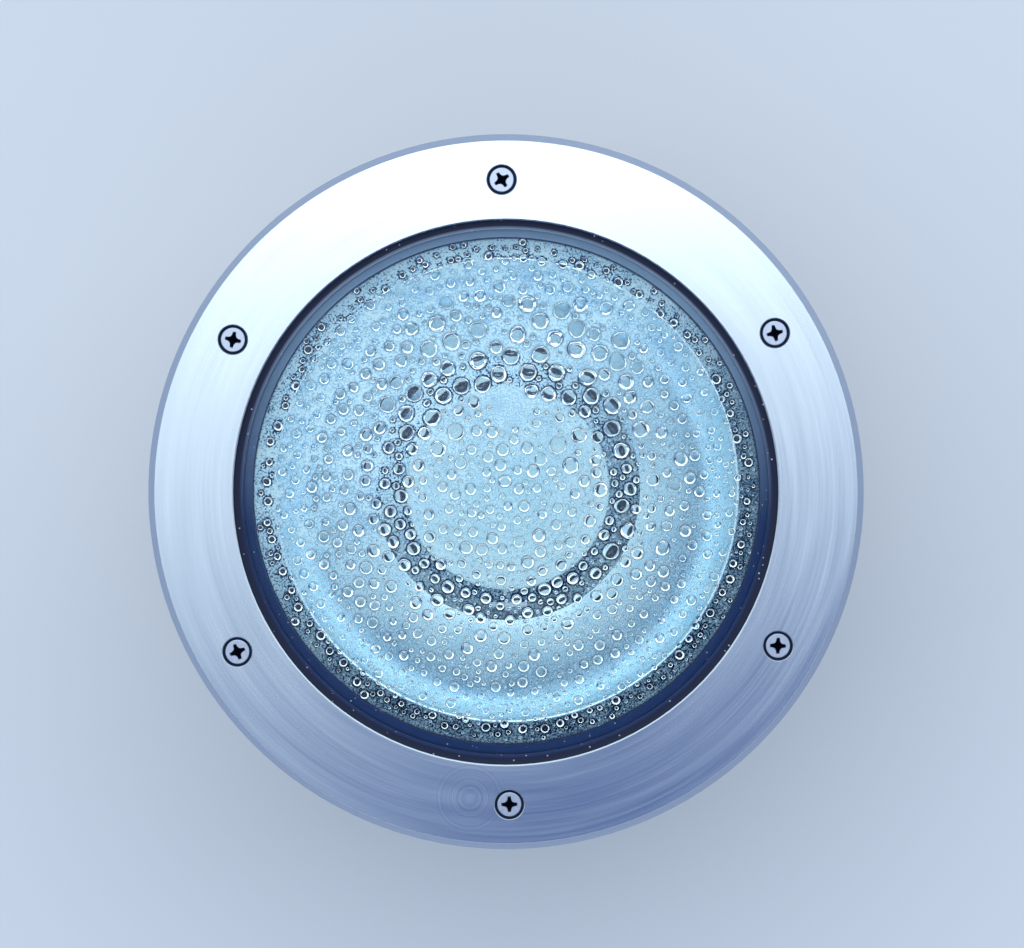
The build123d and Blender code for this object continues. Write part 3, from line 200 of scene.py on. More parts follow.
def turned_stainless():
    # Stainless steel plate faced on a lathe: concentric tool marks spread highlights along the
    # radius, bands drift in tone, and feet and brooms have left hair scratches.
    made, tree = new_material("turned_stainless_steel")
    place, radius, direction, height = around_axis(tree)
    # The cutter's feed is about 0.2 mm; it is drawn 0.6 mm wide so that it shows.
    feed = add(tree, "ShaderNodeMath", {0: radius, 1: 1 / (0.6 * MM)}, operation="MULTIPLY")
    slow = add(tree, "ShaderNodeVectorMath", {0: direction, "Scale": 1.6}, operation="SCALE")
    marks = add(tree, "ShaderNodeTexNoise", {
        "Vector": slow, "W": feed, "Scale": 1.0, "Detail": 3.0, "Roughness": 0.65},
        noise_dimensions="4D")
    bands = add(tree, "ShaderNodeMath", {0: radius, 1: 1 / (4 * MM)}, operation="MULTIPLY")
    drift = add(tree, "ShaderNodeTexNoise", {
        "Vector": slow, "W": bands, "Scale": 1.0, "Detail": 2.0}, noise_dimensions="4D")
    # Hair scratches, 70 mm long and 0.7 mm wide before the threshold thins them, two ways across.
    scratches = []
    for turn in (0.6, -0.9):
        lines = add(tree, "ShaderNodeMapping", {
            "Vector": place, "Rotation": (0, 0, turn), "Scale": (14, 1500, 14)})
        noise = add(tree, "ShaderNodeTexNoise", {"Vector": lines, "Scale": 1.0, "Detail": 1.0})
        scratches.append(add(tree, "ShaderNodeMapRange", {
            "Value": noise, "From Min": 0.68, "From Max": 0.75}))
    scratch = add(tree, "ShaderNodeMath", {0: scratches[0], 1: scratches[1]}, operation="MAXIMUM")
    # A trial cut of the cutter, left beside the lowest screw.
    _, swirl_radius, _, _ = around_axis(tree, *SWIRL_AT)
    turns = add(tree, "ShaderNodeMath", {0: swirl_radius, 1: 1 / (0.7 * MM)}, operation="MULTIPLY")
    swirl = add(tree, "ShaderNodeTexNoise", {"W": turns, "Scale": 1.0, "Detail": 1.0},
                noise_dimensions="1D")
    near = add(tree, "ShaderNodeMapRange", {
        "Value": swirl_radius, "From Min": 12 * MM, "From Max": 6 * MM})
    cut = add(tree, "ShaderNodeMix", {0: near, 2: marks, 3: swirl})
    tone = add(tree, "ShaderNodeMath", {0: cut, 1: drift}, operation="ADD")
    bright = add(tree, "ShaderNodeMapRange", {"Value": tone, "From Min": 0.6, "From Max": 1.4})
    metal = add(tree, "ShaderNodeMix", {0: bright, 6: "#D6E4EF", 7: "#E2EFF8"}, data_type="RGBA")
    # The chamfer round the outside is drawn darker and greyer than the face: painted shade for its
    # outward slope.
    chamfer = add(tree, "ShaderNodeMapRange", {
        "Value": radius, "From Min": CHAMFER_EDGE[0], "From Max": CHAMFER_EDGE[1]})
    chamfer_painted_shade = add(tree, "ShaderNodeMix", {0: chamfer, 6: metal.outputs[2], 7: "#B2BCD0"},
                 data_type="RGBA")
    # Painted shade in the countersinks, which lie below the face and away from the ring's edges:
    # dark blue below the face.
    deep = add(tree, "ShaderNodeMapRange", {
        "Value": height, "From Min": RING_FACE - 0.07 * MM, "From Max": RING_FACE - 0.25 * MM})
    outer = add(tree, "ShaderNodeMath", {0: radius, 1: SUNK_BAND[1]}, operation="LESS_THAN")
    inner = add(tree, "ShaderNodeMath", {0: radius, 1: SUNK_BAND[0]}, operation="GREATER_THAN")
    sunk = add(tree, "ShaderNodeMath", {0: outer, 1: inner}, operation="MULTIPLY")
    countersink_painted_shade = add(tree, "ShaderNodeMath", {0: sunk, 1: deep}, operation="MULTIPLY")
    colour = add(tree, "ShaderNodeMix", {0: countersink_painted_shade, 6: chamfer_painted_shade.outputs[2], 7: "#33405E"},
                 data_type="RGBA")
    rough = add(tree, "ShaderNodeMapRange", {
        "Value": tone, "From Min": 0.7, "From Max": 1.3, "To Min": 0.17, "To Max": 0.23})
    rougher = add(tree, "ShaderNodeMath", {0: rough, 1: countersink_painted_shade}, operation="MAXIMUM")
    faint = add(tree, "ShaderNodeMath", {0: scratch, 1: -0.4}, operation="MULTIPLY")
    relief = add(tree, "ShaderNodeMath", {0: cut, 1: faint}, operation="ADD")
    bump = add(tree, "ShaderNodeBump", {"Height": relief, "Strength": 0.4, "Distance": 0.002 * MM})
    tangent = add(tree, "ShaderNodeTangent", direction_type="RADIAL", axis="Z")
    shader = add(tree, "ShaderNodeBsdfPrincipled", {
        "Base Color": colour.outputs[2], "Metallic": 1.0, "Roughness": rougher,
        "Anisotropic": 0.3, "Tangent": tangent, "Normal": bump})
    add(tree, "ShaderNodeOutputMaterial", {"Surface": shader})
    return made


def screw_steel():
    # Cold headed stainless screws: satin heads with small dents, and painted shade in the recess.
    made, tree = new_material("headed_stainless_steel")
    place, _, _, height = around_axis(tree)
    worn = add(tree, "ShaderNodeTexNoise", {
        "Vector": place, "Scale": 1 / (0.5 * MM), "Detail": 4.0, "Roughness": 0.7})
    deep = add(tree, "ShaderNodeMapRange", {
        "Value": height, "From Min": SCREW_FACE - 0.1 * MM, "From Max": SCREW_FACE - 0.5 * MM})
    metal = add(tree, "ShaderNodeMix", {0: worn, 6: "#A9B6CC", 7: "#CFDAEA"}, data_type="RGBA")
    # Painted shade: near black from 0.1 to 0.5 mm below the head's face.
    colour = add(tree, "ShaderNodeMix", {0: deep, 6: metal.outputs[2], 7: "#10192C"},
                 data_type="RGBA")
    rough = add(tree, "ShaderNodeMapRange", {"Value": worn, "To Min": 0.22, "To Max": 0.5})
    rougher = add(tree, "ShaderNodeMath", {0: rough, 1: deep}, operation="MAXIMUM")
    bump = add(tree, "ShaderNodeBump", {"Height": worn, "Strength": 0.5, "Distance": 0.02 * MM})
    shader = add(tree, "ShaderNodeBsdfPrincipled", {
        "Base Color": colour.outputs[2], "Metallic": 1.0, "Roughness": rougher, "Normal": bump})
    add(tree, "ShaderNodeOutputMaterial", {"Surface": shader})
    return made


def silicone_rubber():
    # Moulded black silicone rubber: dull, with fine lines round it and specks of grit that stick.
    made, tree = new_material("moulded_silicone_rubber")
    place, radius, _, _ = around_axis(tree)
    turns = add(tree, "ShaderNodeMath", {0: radius, 1: 1 / (0.5 * MM)}, operation="MULTIPLY")
    lines = add(tree, "ShaderNodeTexNoise", {"W": turns, "Scale": 1.0, "Detail": 1.0},
                noise_dimensions="1D")
    grit = add(tree, "ShaderNodeTexVoronoi", {"Vector": place, "Scale": 1 / (1.3 * MM)})
    small = add(tree, "ShaderNodeMapRange", {
        "Value": grit.outputs["Distance"], "From Min": 0.22, "From Max": 0.14})
    kind = add(tree, "ShaderNodeSeparateColor", {"Color": grit.outputs["Color"]})
    few = add(tree, "ShaderNodeMath", {0: kind.outputs["Red"], 1: 0.86}, operation="GREATER_THAN")
    specks = add(tree, "ShaderNodeMath", {0: small, 1: few}, operation="MULTIPLY")
    dust = add(tree, "ShaderNodeMix", {0: kind.outputs["Green"], 6: "#7C5F4A", 7: "#C9D6E6"},
               data_type="RGBA")
    rubber = add(tree, "ShaderNodeMix", {0: lines, 6: "#06102A", 7: "#102044"}, data_type="RGBA")
    # Under the glass the lip is painted blue, dark on the near side and pale on the far side:
    # painted reflection of the light overhead in the glass.
    under = add(tree, "ShaderNodeMapRange", {
        "Value": radius, "From Min": LIP_EDGE[0], "From Max": LIP_EDGE[1], "To Max": 0.8})
    side = add(tree, "ShaderNodeSeparateXYZ", {"Vector": place})
    far_side_reflection = add(tree, "ShaderNodeMapRange", {
        "Value": side.outputs["Y"], "From Min": -10 * MM, "From Max": 60 * MM})
    mist = add(tree, "ShaderNodeMix", {0: far_side_reflection, 6: "#22407C", 7: "#C0D8F8"}, data_type="RGBA")
    lip_painted_reflection = add(tree, "ShaderNodeMix", {0: under, 6: rubber.outputs[2], 7: mist.outputs[2]},
                data_type="RGBA")
    colour = add(tree, "ShaderNodeMix", {0: specks, 6: lip_painted_reflection.outputs[2], 7: dust.outputs[2]},
                 data_type="RGBA")
    rough = add(tree, "ShaderNodeMapRange", {"Value": lines, "To Min": 0.45, "To Max": 0.65})
    bump = add(tree, "ShaderNodeBump", {"Height": lines, "Strength": 0.8, "Distance": 0.05 * MM})
    shader = add(tree, "ShaderNodeBsdfPrincipled", {
        "Base Color": colour.outputs[2], "Roughness": rough, "Specular IOR Level": 0.3,
        "Normal": bump})
    add(tree, "ShaderNodeOutputMaterial", {"Surface": shader})
    return made


def clear(name, tint, shade, ior, mottle_mm, sheen="#FFFFFF"):
    """Clear glass or water with a faint mottle in its tint. Lamps and daylight pass it."""
    made, tree = new_material(name)
    place = add(tree, "ShaderNodeTexCoord").outputs["Object"]
    mottle = add(tree, "ShaderNodeTexNoise", {"Vector": place, "Scale": 1 / (mottle_mm * MM)})
    colour = add(tree, "ShaderNodeMix", {0: mottle, 6: tint, 7: shade}, data_type="RGBA")
    body = add(tree, "ShaderNodeBsdfPrincipled", {
        "Base Color": colour.outputs[2], "Roughness": 0.0, "Transmission Weight": 1.0, "IOR": ior,
        "Specular Tint": sheen})
    path = add(tree, "ShaderNodeLightPath")
    lit = add(tree, "ShaderNodeMath", {
        0: path.outputs["Is Shadow Ray"], 1: path.outputs["Is Diffuse Ray"]}, operation="MAXIMUM")
    through = add(tree, "ShaderNodeBsdfTransparent", {"Color": tint})
    mixed = add(tree, "ShaderNodeMixShader", {0: lit, 1: body, 2: through})
    add(tree, "ShaderNodeOutputMaterial", {"Surface": mixed})
    return made


def mist_film():
    # Mist between the drops: pale dots, bluer towards their edges as painted shade, with a lit
    # side. The real beads are finer still, and are drawn at a pitch of 0.46 and 0.8 mm so that they
    # show.
    made, tree = new_material("condensed_mist")
    place = add(tree, "ShaderNodeTexCoord").outputs["Object"]
    amount = add(tree, "ShaderNodeAttribute", attribute_name="mist").outputs["Fac"]
    clouds = add(tree, "ShaderNodeTexNoise", {
        "Vector": place, "Scale": 1 / (7 * MM), "Detail": 3.0})
    patchy = add(tree, "ShaderNodeMapRange", {
        "Value": clouds, "From Min": 0.3, "From Max": 0.7, "To Min": 0.33, "To Max": 0.54})
    # Towards the far left the mist is drawn thicker and fuller: painted reflection of the light
    # overhead in the glass.
    side = add(tree, "ShaderNodeVectorMath", {0: place, 1: (-0.5, 0.85, 0)},
               operation="DOT_PRODUCT").outputs["Value"]
    far_reflection_gain = add(tree, "ShaderNodeMapRange", {
        "Value": side, "From Min": -40 * MM, "From Max": 40 * MM, "To Min": 0.9, "To Max": 1.35})
    spread = add(tree, "ShaderNodeMath", {0: patchy, 1: far_reflection_gain}, operation="MULTIPLY")
    reach = add(tree, "ShaderNodeMath", {0: spread, 1: amount}, operation="MULTIPLY")
    beads = []
    for pitch in (0.8, 0.46):
        cells = add(tree, "ShaderNodeTexVoronoi", {"Vector": place, "Scale": 1 / (pitch * MM)},
                    voronoi_dimensions="2D")
        inside = add(tree, "ShaderNodeMath", {0: reach, 1: cells.outputs["Distance"]},
                     operation="SUBTRACT")
        beads.append(add(tree, "ShaderNodeMapRange", {"Value": inside, "From Max": 0.3}))
    dome = add(tree, "ShaderNodeMath", {0: beads[0], 1: beads[1]}, operation="MAXIMUM")
    # Painted reflection: the veil grows fuller towards the far left.
    far_side_reflection = add(tree, "ShaderNodeMapRange", {
        "Value": side, "From Min": -25 * MM, "From Max": 38 * MM, "To Min": 0.44,
        "To Max": 1.0}, interpolation_type="SMOOTHSTEP")
    veil = add(tree, "ShaderNodeMapRange", {
        "Value": dome, "From Max": 0.12, "To Max": far_side_reflection})
    # Painted shade: each bead bluer at its edge and palest at its middle.
    colour = add(tree, "ShaderNodeMix", {0: dome, 6: "#7CC0F6", 7: "#EAFAFF"}, data_type="RGBA")
    bump = add(tree, "ShaderNodeBump", {"Height": dome, "Strength": 0.7, "Distance": 0.15 * MM})
    white = add(tree, "ShaderNodeBsdfDiffuse", {"Color": colour.outputs[2], "Normal": bump})
    through = add(tree, "ShaderNodeBsdfTransparent", {"Color": "#FFFFFF"})
    mixed = add(tree, "ShaderNodeMixShader", {0: veil, 1: through, 2: white})
    # Beads scatter daylight forward, so it reaches the inside as if they weren't there.
    path = add(tree, "ShaderNodeLightPath")
    lit = add(tree, "ShaderNodeMath", {
        0: path.outputs["Is Shadow Ray"], 1: path.outputs["Is Diffuse Ray"]}, operation="MAXIMUM")
    mirrored = add(tree, "ShaderNodeMath", {
        0: path.outputs["Is Glossy Ray"], 1: path.outputs["Is Transmission Ray"]},
        operation="SUBTRACT")
    passing = add(tree, "ShaderNodeMath", {0: lit, 1: mirrored}, operation="MAXIMUM")
    passed = add(tree, "ShaderNodeMixShader", {0: passing, 1: mixed, 2: through})
    add(tree, "ShaderNodeOutputMaterial", {"Surface": passed})
    return made


def spun_reflector():
    # Anodised aluminium, spun: a satin mirror with fine rings and a few cloudy water stains.
    made, tree = new_material("anodised_spun_aluminium")
    place, radius, direction, _ = around_axis(tree)
    turns = add(tree, "ShaderNodeMath", {0: radius, 1: 1 / (0.8 * MM)}, operation="MULTIPLY")
    rings = add(tree, "ShaderNodeTexNoise", {
        "Vector": direction, "W": turns, "Scale": 1.0, "Detail": 2.0}, noise_dimensions="4D")
    stains = add(tree, "ShaderNodeTexNoise", {
        "Vector": place, "Scale": 1 / (14 * MM), "Detail": 4.0})
    tone = add(tree, "ShaderNodeMath", {0: rings, 1: stains}, operation="MULTIPLY")
    mix = add(tree, "ShaderNodeMapRange", {"Value": tone, "From Min": 0.12, "From Max": 0.4})
    colour = add(tree, "ShaderNodeMix", {0: mix, 6: "#C6E6FA", 7: "#E6F7FF"}, data_type="RGBA")
    rough = add(tree, "ShaderNodeMapRange", {"Value": stains, "To Min": 0.14, "To Max": 0.3})
    bump = add(tree, "ShaderNodeBump", {"Height": rings, "Strength": 0.4, "Distance": 0.01 * MM})
    shader = add(tree, "ShaderNodeBsdfPrincipled", {
        "Base Color": colour.outputs[2], "Metallic": 1.0, "Roughness": rough, "Normal": bump})
    add(tree, "ShaderNodeOutputMaterial", {"Surface": shader})
    return made


def pressed_lens():
    # Pressed borosilicate glass with a stippled back, pale cyan with the daylight in it.
    made, tree = new_material("pressed_borosilicate_glass")
    place, radius, _, _ = around_axis(tree)
    stipple = add(tree, "ShaderNodeTexVoronoi", {"Vector": place, "Scale": 1 / (1.6 * MM)})
    middle = add(tree, "ShaderNodeMapRange", {
        "Value": radius, "From Min": 4 * MM, "From Max": 24 * MM})
    field = add(tree, "ShaderNodeMix", {0: middle, 6: "#DDF7FF", 7: "#F2FEFF"}, data_type="RGBA")
    dots = add(tree, "ShaderNodeMapRange", {"Value": stipple.outputs["Distance"], "To Max": 0.5})
    colour = add(tree, "ShaderNodeMix", {0: dots, 6: field.outputs[2], 7: "#CDEFFC"},
                 data_type="RGBA")
    bump = add(tree, "ShaderNodeBump", {
        "Height": stipple.outputs["Distance"], "Strength": 0.3, "Distance": 0.05 * MM})
    shader = add(tree, "ShaderNodeBsdfPrincipled", {
        "Base Color": colour.outputs[2], "Roughness": 0.22, "Transmission Weight": 0.05,
        "IOR": 1.47, "Normal": bump})
    add(tree, "ShaderNodeOutputMaterial", {"Surface": shader})
    return made


def metal(name, dark, light, low, high, grain_mm, relief_mm, stretch=(1, 1, 1), metallic=1.0):
    """A metal whose tone and roughness follow one grain."""
    made, tree = new_material(name)
    place = add(tree, "ShaderNodeMapping", {
        "Vector": add(tree, "ShaderNodeTexCoord").outputs["Object"], "Scale": stretch})
    grain = add(tree, "ShaderNodeTexNoise", {
        "Vector": place, "Scale": 1 / (grain_mm * MM), "Detail": 4.0, "Roughness": 0.6})
    share = add(tree, "ShaderNodeMapRange", {"Value": grain, "From Min": 0.3, "From Max": 0.7})
    colour = add(tree, "ShaderNodeMix", {0: share, 6: dark, 7: light}, data_type="RGBA")
    rough = add(tree, "ShaderNodeMapRange", {"Value": share, "To Min": high, "To Max": low})
    bump = add(tree, "ShaderNodeBump", {
        "Height": grain, "Strength": 0.6, "Distance": relief_mm * MM})
    shader = add(tree, "ShaderNodeBsdfPrincipled", {
        "Base Color": colour.outputs[2], "Metallic": metallic, "Roughness": rough, "Normal": bump})
    add(tree, "ShaderNodeOutputMaterial", {"Surface": shader})
    return made


def moulded(name, base, rubbed, low, high, grain_mm, relief_mm, dirt="#6E675C", soiled=0.0):
    """Plastic, ceramic or powder coat: a fine grain, rubbed patches, and soil where it is dirty."""
    made, tree = new_material(name)
    place = add(tree, "ShaderNodeTexCoord").outputs["Object"]
    grain = add(tree, "ShaderNodeTexNoise", {
        "Vector": place, "Scale": 1 / (grain_mm * MM), "Detail": 3.0})
    patches = add(tree, "ShaderNodeTexNoise", {
        "Vector": place, "Scale": 1 / (22 * MM), "Detail": 5.0, "Roughness": 0.6})
    worn = add(tree, "ShaderNodeMapRange", {"Value": patches, "From Min": 0.35, "From Max": 0.7})
    skin = add(tree, "ShaderNodeMix", {0: worn, 6: base, 7: rubbed}, data_type="RGBA")
    smear = add(tree, "ShaderNodeMapRange", {
        "Value": add(tree, "ShaderNodeMath", {0: patches, 1: grain}, operation="MULTIPLY"),
        "From Min": 0.26, "From Max": 0.4, "To Max": soiled})
    colour = add(tree, "ShaderNodeMix", {0: smear, 6: skin.outputs[2], 7: dirt}, data_type="RGBA")
    rough = add(tree, "ShaderNodeMapRange", {"Value": worn, "To Min": low, "To Max": high})
    bump = add(tree, "ShaderNodeBump", {
        "Height": grain, "Strength": 0.5, "Distance": relief_mm * MM})
    shader = add(tree, "ShaderNodeBsdfPrincipled", {
        "Base Color": colour.outputs[2], "Roughness": rough, "Normal": bump})
    add(tree, "ShaderNodeOutputMaterial", {"Surface": shader})
    return made


WAVE = 0.31                                   # metres between two crests of a wave of scale 1


def insulated(name, ground, stripe, pitch_mm, share):
    """Wire insulation with a stripe or a braid that crosses it at a slant."""
    made, tree = new_material(name)
    place = add(tree, "ShaderNodeTexCoord").outputs["Object"]
    waves = []
    for turn in (0.7, -0.7):
        slant = add(tree, "ShaderNodeMapping", {"Vector": place, "Rotation": (turn, turn, turn)})
        waves.append(add(tree, "ShaderNodeTexWave", {
            "Vector": slant, "Scale": WAVE / (pitch_mm * MM), "Distortion": 0.3}).outputs["Fac"])
    weave = add(tree, "ShaderNodeMath", {0: waves[0], 1: waves[1]}, operation="MULTIPLY")
    band = add(tree, "ShaderNodeMapRange", {
        "Value": weave, "From Min": share, "From Max": share + 0.15})
    colour = add(tree, "ShaderNodeMix", {0: band, 6: ground, 7: stripe}, data_type="RGBA")
    bump = add(tree, "ShaderNodeBump", {"Height": weave, "Strength": 0.4, "Distance": 0.06 * MM})
    shader = add(tree, "ShaderNodeBsdfPrincipled", {
        "Base Color": colour.outputs[2], "Roughness": 0.55, "Normal": bump})
    add(tree, "ShaderNodeOutputMaterial", {"Surface": shader})
    return made


steel = turned_stainless()
glass = clear("toughened_soda_lime_glass", "#F7FEFF", "#F0FBFE", 1.5, 30, "#9FC0FF")
# The index is raised from 1.33 to give the drops the broad bright rims of the real ones.
water = clear("condensed_water", "#FBFEFF", "#F3FAFF", 1.45, 3)
braid = insulated("glass_fibre_braid", "#C9C1AE", "#E8E3D6", 1.1, 0.35)
FINISHES = {
    "turned_stainless": steel,
    "stainless_screws": screw_steel(),
    "toughened_glass": glass,
    "black_silicone": silicone_rubber(),
    # Die cast aluminium under black polyester powder: orange peel about a millimetre across.
    "coated_casting": moulded("powder_coated_casting", "#101930", "#1B2947", 0.42, 0.6, 1.0,
                              0.03),
    # Moulded polypropylene with a coarse spark texture; soil has dried on it.
    "moulded_sleeve": moulded("moulded_polypropylene", "#1A1C20", "#2A2D33", 0.5, 0.68, 0.7, 0.05,
                              soiled=0.5),
    # Glass filled polyamide: fine texture, slightly greyed.
    "black_polyamide": moulded("moulded_polyamide", "#131519", "#23262C", 0.42, 0.6, 0.5, 0.02),
    "black_knobs": moulded("moulded_phenolic", "#0E1013", "#1C1F24", 0.25, 0.45, 0.6, 0.01),
    # Black chromated plate: dull, so that it throws no light into the reflector.
    "black_carrier": metal("black_chromate_plate", "#0A1225", "#16213A", 0.45, 0.65, 2.5, 0.004),
    "anodised_reflector": spun_reflector(),
    # Bright zinc plate over pressed steel: faint rolling grain, bluish and yellowish clouds.
    "zinc_plated_steel": metal("zinc_plated_steel", "#A9B0B8", "#D9DDE2", 0.25, 0.42, 3.0, 0.005,
                               (1, 5, 1)),
    # Acetal: waxy off-white.
    "low_friction_plastic": moulded("moulded_acetal", "#DCDDD6", "#EBEBE6", 0.35, 0.5, 0.6, 0.005),
    # Glazed steatite: cream body under a thin glossy glaze.
    "glazed_ceramic": moulded("glazed_steatite", "#E2DCCB", "#EFEAE0", 0.12, 0.3, 1.2, 0.01),
    # Nickel on brass, rubbed yellow on its high spots.
    "plated_brass": metal("nickel_plated_brass", "#B9A676", "#DBD0AE", 0.2, 0.4, 1.0, 0.004),
    "lead_insulation": braid,
    # Green and yellow PVC.
    "earth_insulation": insulated("striped_pvc", "#2E8B45", "#E4D23A", 4.0, 0.3),
    "pressed_glass": pressed_lens(),
    # Borosilicate with vacuum deposited aluminium: a soft mirror.
    "aluminised_glass": metal("aluminised_glass", "#CBDCE8", "#E9F3F9", 0.12, 0.25, 4.0, 0.01),
    "cap_metal": metal("nickel_plated_cap", "#AFA994", "#D8D4C6", 0.22, 0.4, 1.5, 0.005),
    "vitrite": moulded("black_vitrite_glass", "#08090C", "#15171C", 0.06, 0.2, 1.5, 0.005),
    "solder": metal("tin_solder", "#8F9499", "#C6C9CC", 0.25, 0.5, 0.6, 0.02),
}
for part in frame["record"]["subparts"]:
    node = frame["nodes"][part["node"]]
    for slot in node.material_slots:
        slot.material = FINISHES[part["material_slot"]]
for name, special in (
        ("lamp_capsule", clear("quartz_glass", "#F6FAFC", "#E6EEF2", 1.46, 5)),
        # The gimbal's zinc plate is drawn near black: painted shade for the dark gap round the
        # lamp.
        ("gimbal_ring", metal("black_passivated_zinc", "#0C1428", "#1E2A44", 0.35, 0.55, 2.0,
                              0.004))):
    for slot in frame["nodes"][name].material_slots:
        slot.material = special


# ---- cover screws -------------------------------------------------------------------------

# Half a wing of the cross recess: degrees from the wing's middle and radius in millimetres.
WING = [(0, 2.56), (7, 2.54), (12.5, 2.46), (15.5, 2.0), (20, 1.74), (27, 1.52), (36, 1.37),
        (45, 1.31)]
RECESS = sorted(
    ((quarter + side * angle) % 360, reach)
    for quarter in (0, 90, 180, 270)
    for side, half in ((1, WING), (-1, WING[-2:0:-1]))
    for angle, reach in half)
# The recess from its bottom to its rounded upper edge: share of the outline's size, height.
RECESS_STEPS = [(0.16, -1.5), (0.45, -1.2), (0.86, -0.5), (0.97, -0.12), (1.0, -0.03), (1.02, 0.0)]
RECESS_TIP = -1.55
# The head from its rounded edge down to the shank's end: radius, height.
HEAD_STEPS = [(HEAD_R - 0.22, 0.0), (HEAD_R - 0.06, -0.04), (HEAD_R, -0.14), (HEAD_R, -HEAD_EDGE),
              (THREAD_R, -HEAD_EDGE - HEAD_CONE), (1.5, -SHANK_END)]


def head_ring(reaches, height):
    """A ring of points, one at each angle of the recess outline."""
    return [(reach * cos(radians(angle)), reach * sin(radians(angle)), height)
            for (angle, _), reach in zip(RECESS, reaches)]


def screw_mesh():
    """A countersunk screw below z = 0: head with a cross recess, and a helical thread."""
    rings = [head_ring([reach * share for _, reach in RECESS], height)
             for share, height in RECESS_STEPS]
    rings += [head_ring([radius] * len(RECESS), height) for radius, height in HEAD_STEPS]
    points, faces = loft(rings, (0, 0, RECESS_TIP), (0, 0, -SHANK_END))
    sides, steps = 16, 6                      # points round the thread, rings for one pitch
    levels = int((SCREW_LENGTH - THREAD_START) / THREAD_PITCH * steps)
    thread = []
    for k in range(levels + 1):
        z = -THREAD_START - k * THREAD_PITCH / steps
        taper = min(1.0, (levels - k) / steps + 0.35)
        ring = []
        for i in range(sides):
            phase = (k / steps + i / sides) % 1.0
            crest = 1 - abs(2 * phase - 1)
            reach = (THREAD_R - THREAD_DEPTH * (1 - crest)) * taper
            ring.append((reach * cos(tau * i / sides), reach * sin(tau * i / sides), z))
        thread.append(ring)
    more, skins = loft(thread, (0, 0, -THREAD_START), (0, 0, thread[-1][0][2]))
    faces += [tuple(i + len(points) for i in face) for face in skins]
    # The recess's upper edge and the face of the head round it aren't smoothed.
    count, edge = len(RECESS), len(RECESS_STEPS) - 1
    flat = set(range((edge - 1) * count, (edge + 1) * count))
    return mesh_of("cover_screw", points + more, faces, flat)


def outward(mesh):
    """Turns a closed mesh's faces outwards."""
    work = bmesh.new()
    work.from_mesh(mesh)
    bmesh.ops.recalc_face_normals(work, faces=work.faces)
    work.to_mesh(mesh)
    work.free()
    return mesh


def setting_out():
    """A tree that sets a piece on every point, turned and sized by the points' attributes."""
    tree, given = geometry_tree("set_out", {
        "Piece": "Object", "Material": "Material", "Unevenness": "Float"})
    turn = add(tree, "GeometryNodeInputNamedAttribute", {"Name": "turn"}, data_type="FLOAT")
    size = add(tree, "GeometryNodeInputNamedAttribute", {"Name": "size"}, data_type="FLOAT_VECTOR")
    shape = add(tree, "GeometryNodeObjectInfo", {"Object": given["Piece"]})
    placed = add(tree, "GeometryNodeInstanceOnPoints", {
        "Points": given["Geometry"], "Instance": shape.outputs["Geometry"],
        "Rotation": add(tree, "ShaderNodeCombineXYZ", {"Z": turn}), "Scale": size})
    whole = add(tree, "GeometryNodeRealizeInstances", {"Geometry": placed})
    noise = add(tree, "ShaderNodeTexNoise", {"Scale": 1 / (4 * MM)}, normalize=False)
    sway = add(tree, "ShaderNodeVectorMath", {0: noise.outputs["Color"], 1: (1, 1, 0)},
               operation="MULTIPLY")
    uneven = add(tree, "ShaderNodeVectorMath", {0: sway, "Scale": given["Unevenness"]},
                 operation="SCALE")
    moved = add(tree, "GeometryNodeSetPosition", {"Geometry": whole, "Offset": uneven})
    painted = add(tree, "GeometryNodeSetMaterial", {
        "Geometry": moved, "Material": given["Material"]})
    add(tree, "NodeGroupOutput", {"Geometry": painted})
    return tree


def marked_points(name, places, turns, sizes):
    """Loose points that carry a turn and a size each."""
    mesh = bpy.data.meshes.new(name)
    mesh.from_pydata(places, [], [])
    mesh.attributes.new("turn", "FLOAT", "POINT").data.foreach_set("value", turns)
    flat = [c for size in sizes for c in size]
    mesh.attributes.new("size", "FLOAT_VECTOR", "POINT").data.foreach_set("vector", flat)
    return mesh


set_out = setting_out()
one_screw = piece("one_screw", outward(screw_mesh()))
screw_count = len(CROSS_TURNS)
screw_places = []
for k in range(screw_count):
    angle = radians(SCREW_TURN + 360 * k / screw_count)
    screw_places.append((SCREW_CIRCLE * cos(angle), SCREW_CIRCLE * sin(angle), SCREW_FACE))
screws = piece("finished_cover_screws", grown(
    "finished_cover_screws", set_out,
    marked_points("screw_places", screw_places, [radians(turn) for turn in CROSS_TURNS],
                  [(1, 1, 1)] * screw_count),
    {"Piece": one_screw, "Material": FINISHES["stainless_screws"], "Unevenness": 0.0}), "cover")
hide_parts("cover_screws")
bpy.data.objects.remove(one_screw)


# ---- condensation -------------------------------------------------------------------------

